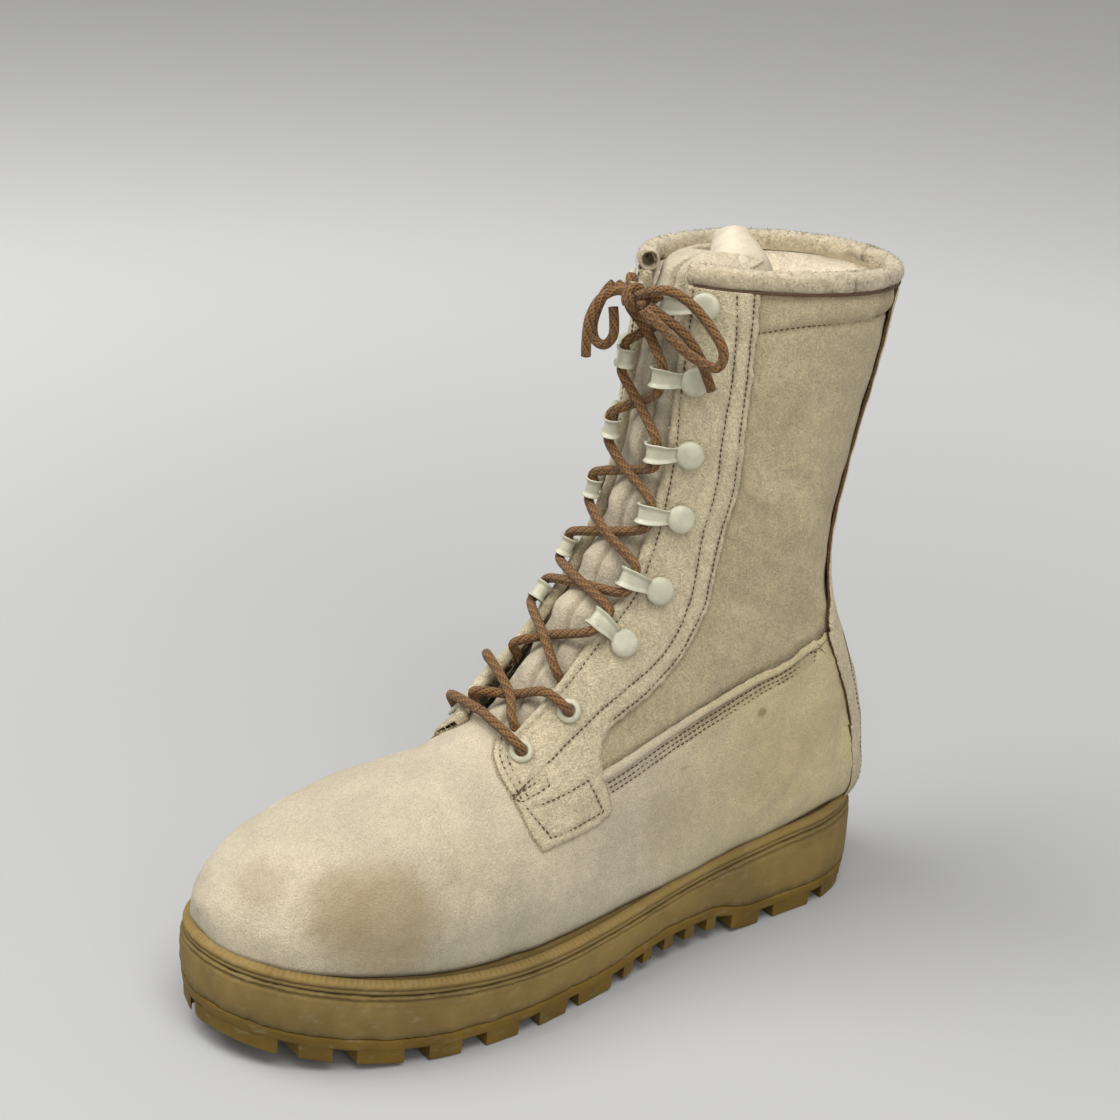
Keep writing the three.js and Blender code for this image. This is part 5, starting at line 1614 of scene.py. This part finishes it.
def make_rim():
    """The rim that stands out round the upper, with fine ridges across its edge from toe to arch."""
    pitch = bpy.context.scene.boot_sizes.knurl * 1000
    top = lambda less: (lambda x: sole_top(x) - less)
    profile = [
        (22, top(4.9)), (4, top(4.9)), (2.2, top(4.95)), (1.7, top(4.6)), (1.5, top(4.1)),
        (1.5, top(3.4)), (2.1, top(3.1)), (2.1, top(2.9)), (1.45, top(2.6)), (1.4, top(2.0)),
        (1.5, top(1.35)), (1.9, top(0.75)), (2.6, top(0.3)), (3.4, top(0.08)), (4.3, top(0.0)),
        (5.0, top(0.12)), (5.4, top(0.5)), (5.8, top(0.62)), (8.0, top(0.6)), (13.0, top(0.6)),
        (22, top(0.6)),
    ]
    strength = [0] * 8 + [0.02, 0.05, 0.10, 0.18, 0.24, 0.26, 0.20, 0.08] + [0] * 5

    def share_at(x):
        return 0.15 + 0.85 * smoothstep(x, 110, 175)

    def ripple(k, plan, walked):
        return -strength[k] * share_at(plan[:, 0]) * (0.5 + 0.5 * np.cos(2 * np.pi * walked / pitch))

    grid, walked = swept(profile, 2200, ripple)
    along = share_at(grid[..., 0])
    wave = 0.5 + 0.5 * np.cos(2 * np.pi * walked / pitch)
    drop = np.array(strength)[:, None] * along * wave[None]
    grid[..., 2] -= drop * 0.9
    grid[8:16] += 0.1 * lumps(grid[8:16], 5, 73)[..., None]
    # hollow is painted shade: in the troughs between the ridges, under the lip, where the rim meets the
    # upper and along its underside
    hollow = 1.1 * drop
    hollow[6:8] = 0.4
    hollow[16:18] = 1.0
    hollow[:3] = 0.8
    worn = np.zeros(grid.shape[:2])
    worn[10:15] = 0.75
    worn *= 0.4 + 0.6 * along
    points, faces = ring_form(grid)
    piece = add_mesh(
        "sole_rim", points, faces, finish_of("midsole_rubber"), "welt",
        {"hollow": hollow, "worn": np.clip(worn - hollow, 0, 1)},
    )
    return facing_outward(piece, (150, 0, 35))


# Lugs and bars, from heel to toe, as where each starts and ends.
EDGE_LUGS = [
    (-1, 9), (15, 30), (38, 58.5), (66.5, 82), (150, 168), (174.5, 188.5), (198.5, 213), (223.5, 236.5),
    (246, 262.5), (270.5, 281), (287, 306),
]
CENTRE_LUGS = [
    (10, 24), (34, 48), (58, 76), (152, 166), (177, 190), (201, 214), (225, 238), (249, 262), (273, 285),
]
SHANK_BARS = [(91, 96), (103, 108), (115, 120), (127, 132), (138, 143)]


def outline_y(x, side, inset):
    """The sole's edge at a place from heel to toe, drawn in by an inset."""
    share = np.clip((x - inset) / (SOLE_LENGTH - 2 * inset), 0, 1)
    at = np.arccos(1 - 2 * share) / np.pi * 10
    y = smooth_value(OUTLINE_OUTER if side > 0 else OUTLINE_INNER, at)
    end = np.sin(at / 10 * np.pi)
    return y - side * inset * np.clip(end, 0, 1) ** 0.35


def lug(corners, flare):
    """A lug under the slab from its plan corners, with rounded bottom edges and drafted sides."""
    corners = np.asarray(corners, float)
    middle = corners.mean(0)
    rings = []
    for inset, level in ((1.5, 0.0), (0.9, 0.12), (0.45, 0.5), (0.2, 1.3), (-flare, 6.6)):
        ring = corners - unit(corners - middle) * inset
        rings.append(np.column_stack([ring, tread_height(ring[:, 0]) + level]))
    return ring_form(rings, low_end=True)


def make_outsole():
    """The outsole: a slab with drafted lugs along both edges, chevrons between and bars in the arch."""
    low = lambda more: (lambda x: tread_height(x) + LUG_DEPTH + more)
    profile = [
        (40, low(0)), (6, low(0)), (1.6, low(0.05)), (1.1, low(0.5)), (0.95, low(1.5)),
        (0.75, low(3)), (0.6, low(4.1)), (0.8, low(4.75)), (1.4, low(5)), (20, low(5)),
    ]
    parts = [ring_form(swept(profile, 600)[0], low_end=True)]
    for start, end in EDGE_LUGS:
        first, last = max(start, 1.2), min(end, SOLE_LENGTH - 1.2)
        xs = np.linspace(first, last, 9)
        for side in (1, -1):
            outer = np.stack([xs, outline_y(xs, side, 1.1)], 1)
            step = 18.0 + 3 * (xs[::-1] < (first + last) / 2)
            inner = np.stack([xs[::-1], side * step], 1)
            if np.abs(outer[:, 1]).min() < 19:
                inner[:, 1] = np.minimum(np.abs(outer[::-1, 1]) - 1.5, 10) * side
                inner[:, 1] = np.where(np.abs(outer[::-1, 1]) < 4, side * 0.3, inner[:, 1])
            ring = np.concatenate([outer, inner])
            parts.append(lug(ring if side < 0 else ring[::-1], 0.0))
    for start, end in CENTRE_LUGS:
        chevron = [(start + 5, 12), (start, 0), (start + 5, -12)]
        parts.append(lug(chevron + [(end + 5, -12), (end, 0), (end + 5, 12)], 0.5))
    for start, end in SHANK_BARS:
        xs = np.array([start, end])
        outer, inner = outline_y(xs, 1, 1.6), outline_y(xs, -1, 1.6)
        bar = [(start, inner[0]), (end, inner[1]), (end, outer[1]), (start, outer[0])]
        parts.append(lug(bar, 0.3))
    points, faces = joined(parts)
    points = points + (0.12 * lumps(points, 9, 81))[:, None] * np.array([1, 1, 0.0])
    z = points[:, 2] - tread_height(points[:, 0])
    # painted shade at the lugs' roots, where they meet the slab
    hollow = np.clip(smoothstep(z, 4.5, 6.2) * (1 - smoothstep(z, 6.2, 7.4)), 0, 1) * 0.55
    worn = 0.6 * (1 - smoothstep(z, 0.0, 1.2))
    piece = add_mesh(
        "lugged_outsole", points, faces, finish_of("outsole_rubber"), "outsole",
        {"hollow": hollow, "worn": worn},
    )
    piece.data.set_sharp_from_angle(angle=math.radians(38))
    return piece


# ---- Operators --------------------------------------------------------------------------------------
# Metres, radians and watts, in the row frame.
CAMERA = {
    "place": (0.442919, 0.610048, 0.461290), "yaw": -2.195914, "pitch": -0.374551, "roll": 0.0582073,
    "lens": 68.17,
}
LIGHT_COLUMNS = ("name", "kind", "place", "size", "power")
LIGHTS = [
    ("key", "AREA", (0.85, -0.55, 1.8), 1.4, 32),
    ("fill", "AREA", (0.3, 1.9, 0.95), 1.4, 10),
    ("over", "AREA", (0.2, 0.7, 1.6), 0.9, 14),
    ("inside", "POINT", (-0.095, 0.0, 0.225), None, 0.045),
]
FLOOR_REACH = 14
BOOT_MIDDLE = Vector((0, 0, 0.12))


class BOOT_OT_stage(bpy.types.Operator):
    """Floor, lights and camera"""

    bl_idname = "boot.stage"
    bl_label = "Stage"

    def execute(self, context):
        mesh = bpy.data.meshes.new("floor")
        corners = [(x * FLOOR_REACH, y * FLOOR_REACH, 0) for x, y in ((-1, -1), (1, -1), (1, 1), (-1, 1))]
        mesh.from_pydata(corners, [], [(0, 1, 2, 3)])
        mesh.materials.append(finish_of("floor"))
        floor = bpy.data.objects.new("floor", mesh)
        context.collection.objects.link(floor)
        self.add_camera(context)
        for row in LIGHTS:
            self.add_light(context, **dict(zip(LIGHT_COLUMNS, row)))
        world = bpy.data.worlds.new("studio")
        world.use_nodes = True
        background = world.node_tree.nodes["Background"]
        background.inputs["Color"].default_value = (1, 0.99, 0.97, 1)
        background.inputs["Strength"].default_value = 0.43
        context.scene.world = world
        context.scene.view_settings.view_transform = "Standard"
        return {"FINISHED"}

    def add_camera(self, context):
        yaw, pitch, roll = (CAMERA[name] for name in ("yaw", "pitch", "roll"))
        flat = math.cos(pitch)
        ahead = Vector((math.cos(yaw) * flat, math.sin(yaw) * flat, math.sin(pitch)))
        level = ahead.cross(Vector((0, 0, 1))).normalized()
        above = level.cross(ahead)
        right = level * math.cos(roll) + above * math.sin(roll)
        up = above * math.cos(roll) - level * math.sin(roll)
        lens = bpy.data.cameras.new("camera")
        lens.lens = CAMERA["lens"]
        lens.sensor_width = 36
        camera = bpy.data.objects.new("camera", lens)
        turned_to = Matrix((right, up, -ahead)).transposed().to_4x4()
        camera.matrix_world = Matrix.Translation(CAMERA["place"]) @ turned_to
        context.collection.objects.link(camera)
        context.scene.camera = camera

    def add_light(self, context, name, kind, place, size, power):
        lamp = bpy.data.lights.new(name, kind)
        if kind == "AREA":
            lamp.shape = "DISK"
            lamp.size = size
        lamp.energy = power
        light = bpy.data.objects.new(name, lamp)
        light.location = place
        light.rotation_euler = (BOOT_MIDDLE - light.location).to_track_quat("-Z", "Y").to_euler()
        context.collection.objects.link(light)


class BOOT_OT_bow(bpy.types.Operator):
    """Knot, loops and ends of the bow"""

    bl_idname = "boot.bow"
    bl_label = "Bow"

    def execute(self, context):
        across = context.scene.boot_sizes.lace * 1000
        angle = np.linspace(-0.6, 2 * np.pi + 0.6, 48)
        sideways = np.linspace(-1.1, 1.1, 48)
        wrap = np.stack([3.4 * np.cos(angle), sideways, 3.7 * np.sin(angle)], 1)
        parts, uvs = [], []
        for strand in (wrap, smooth_line(KNOT_CORE, 8), smooth_line(KNOT_UNDER, 8)):
            points, faces, along, around = tube(KNOT_MIDDLE + strand, across / 2, 18)
            parts.append((points, faces))
            uvs.append(np.stack([around, along / across], 1))
        points, faces = joined(parts)
        uv = np.concatenate(uvs)
        knot = add_mesh("knot", points, faces, finish_of("braid"), "lace_knot", uv=uv)
        for name, places in BOW.items():
            line = even_line(smooth_line(places, 12), 1.0)
            piece = lace_tube(name.replace("lace_", "bow_"), line, name)
        return {"FINISHED"}


class BOOT_OT_laces(bpy.types.Operator):
    """The lace's two halves, through the eyelets and round the hooks up to the knot"""

    bl_idname = "boot.laces"
    bl_label = "Laces"

    def execute(self, context):
        crossings = [f"lace_crossing_{k}" for k in range(1, 8)]
        lace_tube("lace_from_outer_eyelet", lace_path(1), ["lace_bar", *crossings[::2]])
        lace_tube("lace_from_inner_eyelet", lace_path(-1), crossings[1::2])
        return {"FINISHED"}


class BOOT_OT_sole(bpy.types.Operator):
    """Outsole with its lugs, midsole and rim"""

    bl_idname = "boot.sole"
    bl_label = "Sole"

    def execute(self, context):
        make_outsole()
        make_midsole()
        make_rim()
        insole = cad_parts["insole"]
        for slot in insole.material_slots:
            slot.material = finish_of("felt")
        return {"FINISHED"}


class BOOT_OT_panels(bpy.types.Operator):
    """Lower panel, shaft and lining"""

    bl_idname = "boot.panels"
    bl_label = "Panels and lining"

    def execute(self, context):
        make_lower_panel()
        make_shaft()
        make_lining()
        return {"FINISHED"}


class BOOT_OT_overlays(bpy.types.Operator):
    """Facings and backstay"""

    bl_idname = "boot.overlays"
    bl_label = "Facings and backstay"

    def execute(self, context):
        make_facing(1)
        make_facing(-1)
        make_backstay()
        return {"FINISHED"}


class BOOT_OT_tongue(bpy.types.Operator):
    """Tongue with its rolled top"""

    bl_idname = "boot.tongue"
    bl_label = "Tongue"

    def execute(self, context):
        make_tongue()
        return {"FINISHED"}


class BOOT_OT_collar(bpy.types.Operator):
    """Padded collar roll"""

    bl_idname = "boot.collar"
    bl_label = "Collar roll"

    def execute(self, context):
        make_collar_roll()
        return {"FINISHED"}


class BOOT_OT_fittings(bpy.types.Operator):
    """Lace hooks and eyelets"""

    bl_idname = "boot.fittings"
    bl_label = "Hooks and eyelets"

    def execute(self, context):
        strap = hook_strap()
        for side in (1, -1):
            for i in range(len(EYELET_ROWS)):
                make_eyelet(i, side)
            for i in range(len(HOOK_ROWS)):
                make_hook(i, side, strap)
        return {"FINISHED"}


class BOOT_OT_sewing(bpy.types.Operator):
    """Rows of stitches, and loose fibres on the raw edges"""

    bl_idname = "boot.sewing"
    bl_label = "Sewing and fray"

    def execute(self, context):
        make_stitches()
        make_fibres()
        return {"FINISHED"}


OPERATORS = (
    BOOT_OT_stage, BOOT_OT_bow, BOOT_OT_laces, BOOT_OT_sole, BOOT_OT_panels, BOOT_OT_overlays,
    BOOT_OT_tongue, BOOT_OT_collar, BOOT_OT_fittings, BOOT_OT_sewing,
)


class BOOT_PT_panel(bpy.types.Panel):
    """The boot's sizes, colours and steps"""

    bl_idname = "BOOT_PT_panel"
    bl_label = "Combat boot"
    bl_space_type = "VIEW_3D"
    bl_region_type = "UI"
    bl_category = "Boot"

    def draw(self, context):
        for group in (context.scene.boot_sizes, context.scene.boot_colours):
            box = self.layout.box()
            for name in type(group).__annotations__:
                box.prop(group, name)
        for operator in OPERATORS:
            self.layout.operator(operator.bl_idname)


CLASSES = (BootSizes, BootColours, *OPERATORS, BOOT_PT_panel)


def register():
    for one in CLASSES:
        bpy.utils.register_class(one)
    bpy.types.Scene.boot_sizes = bpy.props.PointerProperty(type=BootSizes)
    bpy.types.Scene.boot_colours = bpy.props.PointerProperty(type=BootColours)


def unregister():
    del bpy.types.Scene.boot_colours
    del bpy.types.Scene.boot_sizes
    for one in reversed(CLASSES):
        bpy.utils.unregister_class(one)


def main():
    register()
    for operator in OPERATORS:
        group, name = operator.bl_idname.split(".")
        getattr(getattr(bpy.ops, group), name)()


if __name__ == "__main__":
    main()
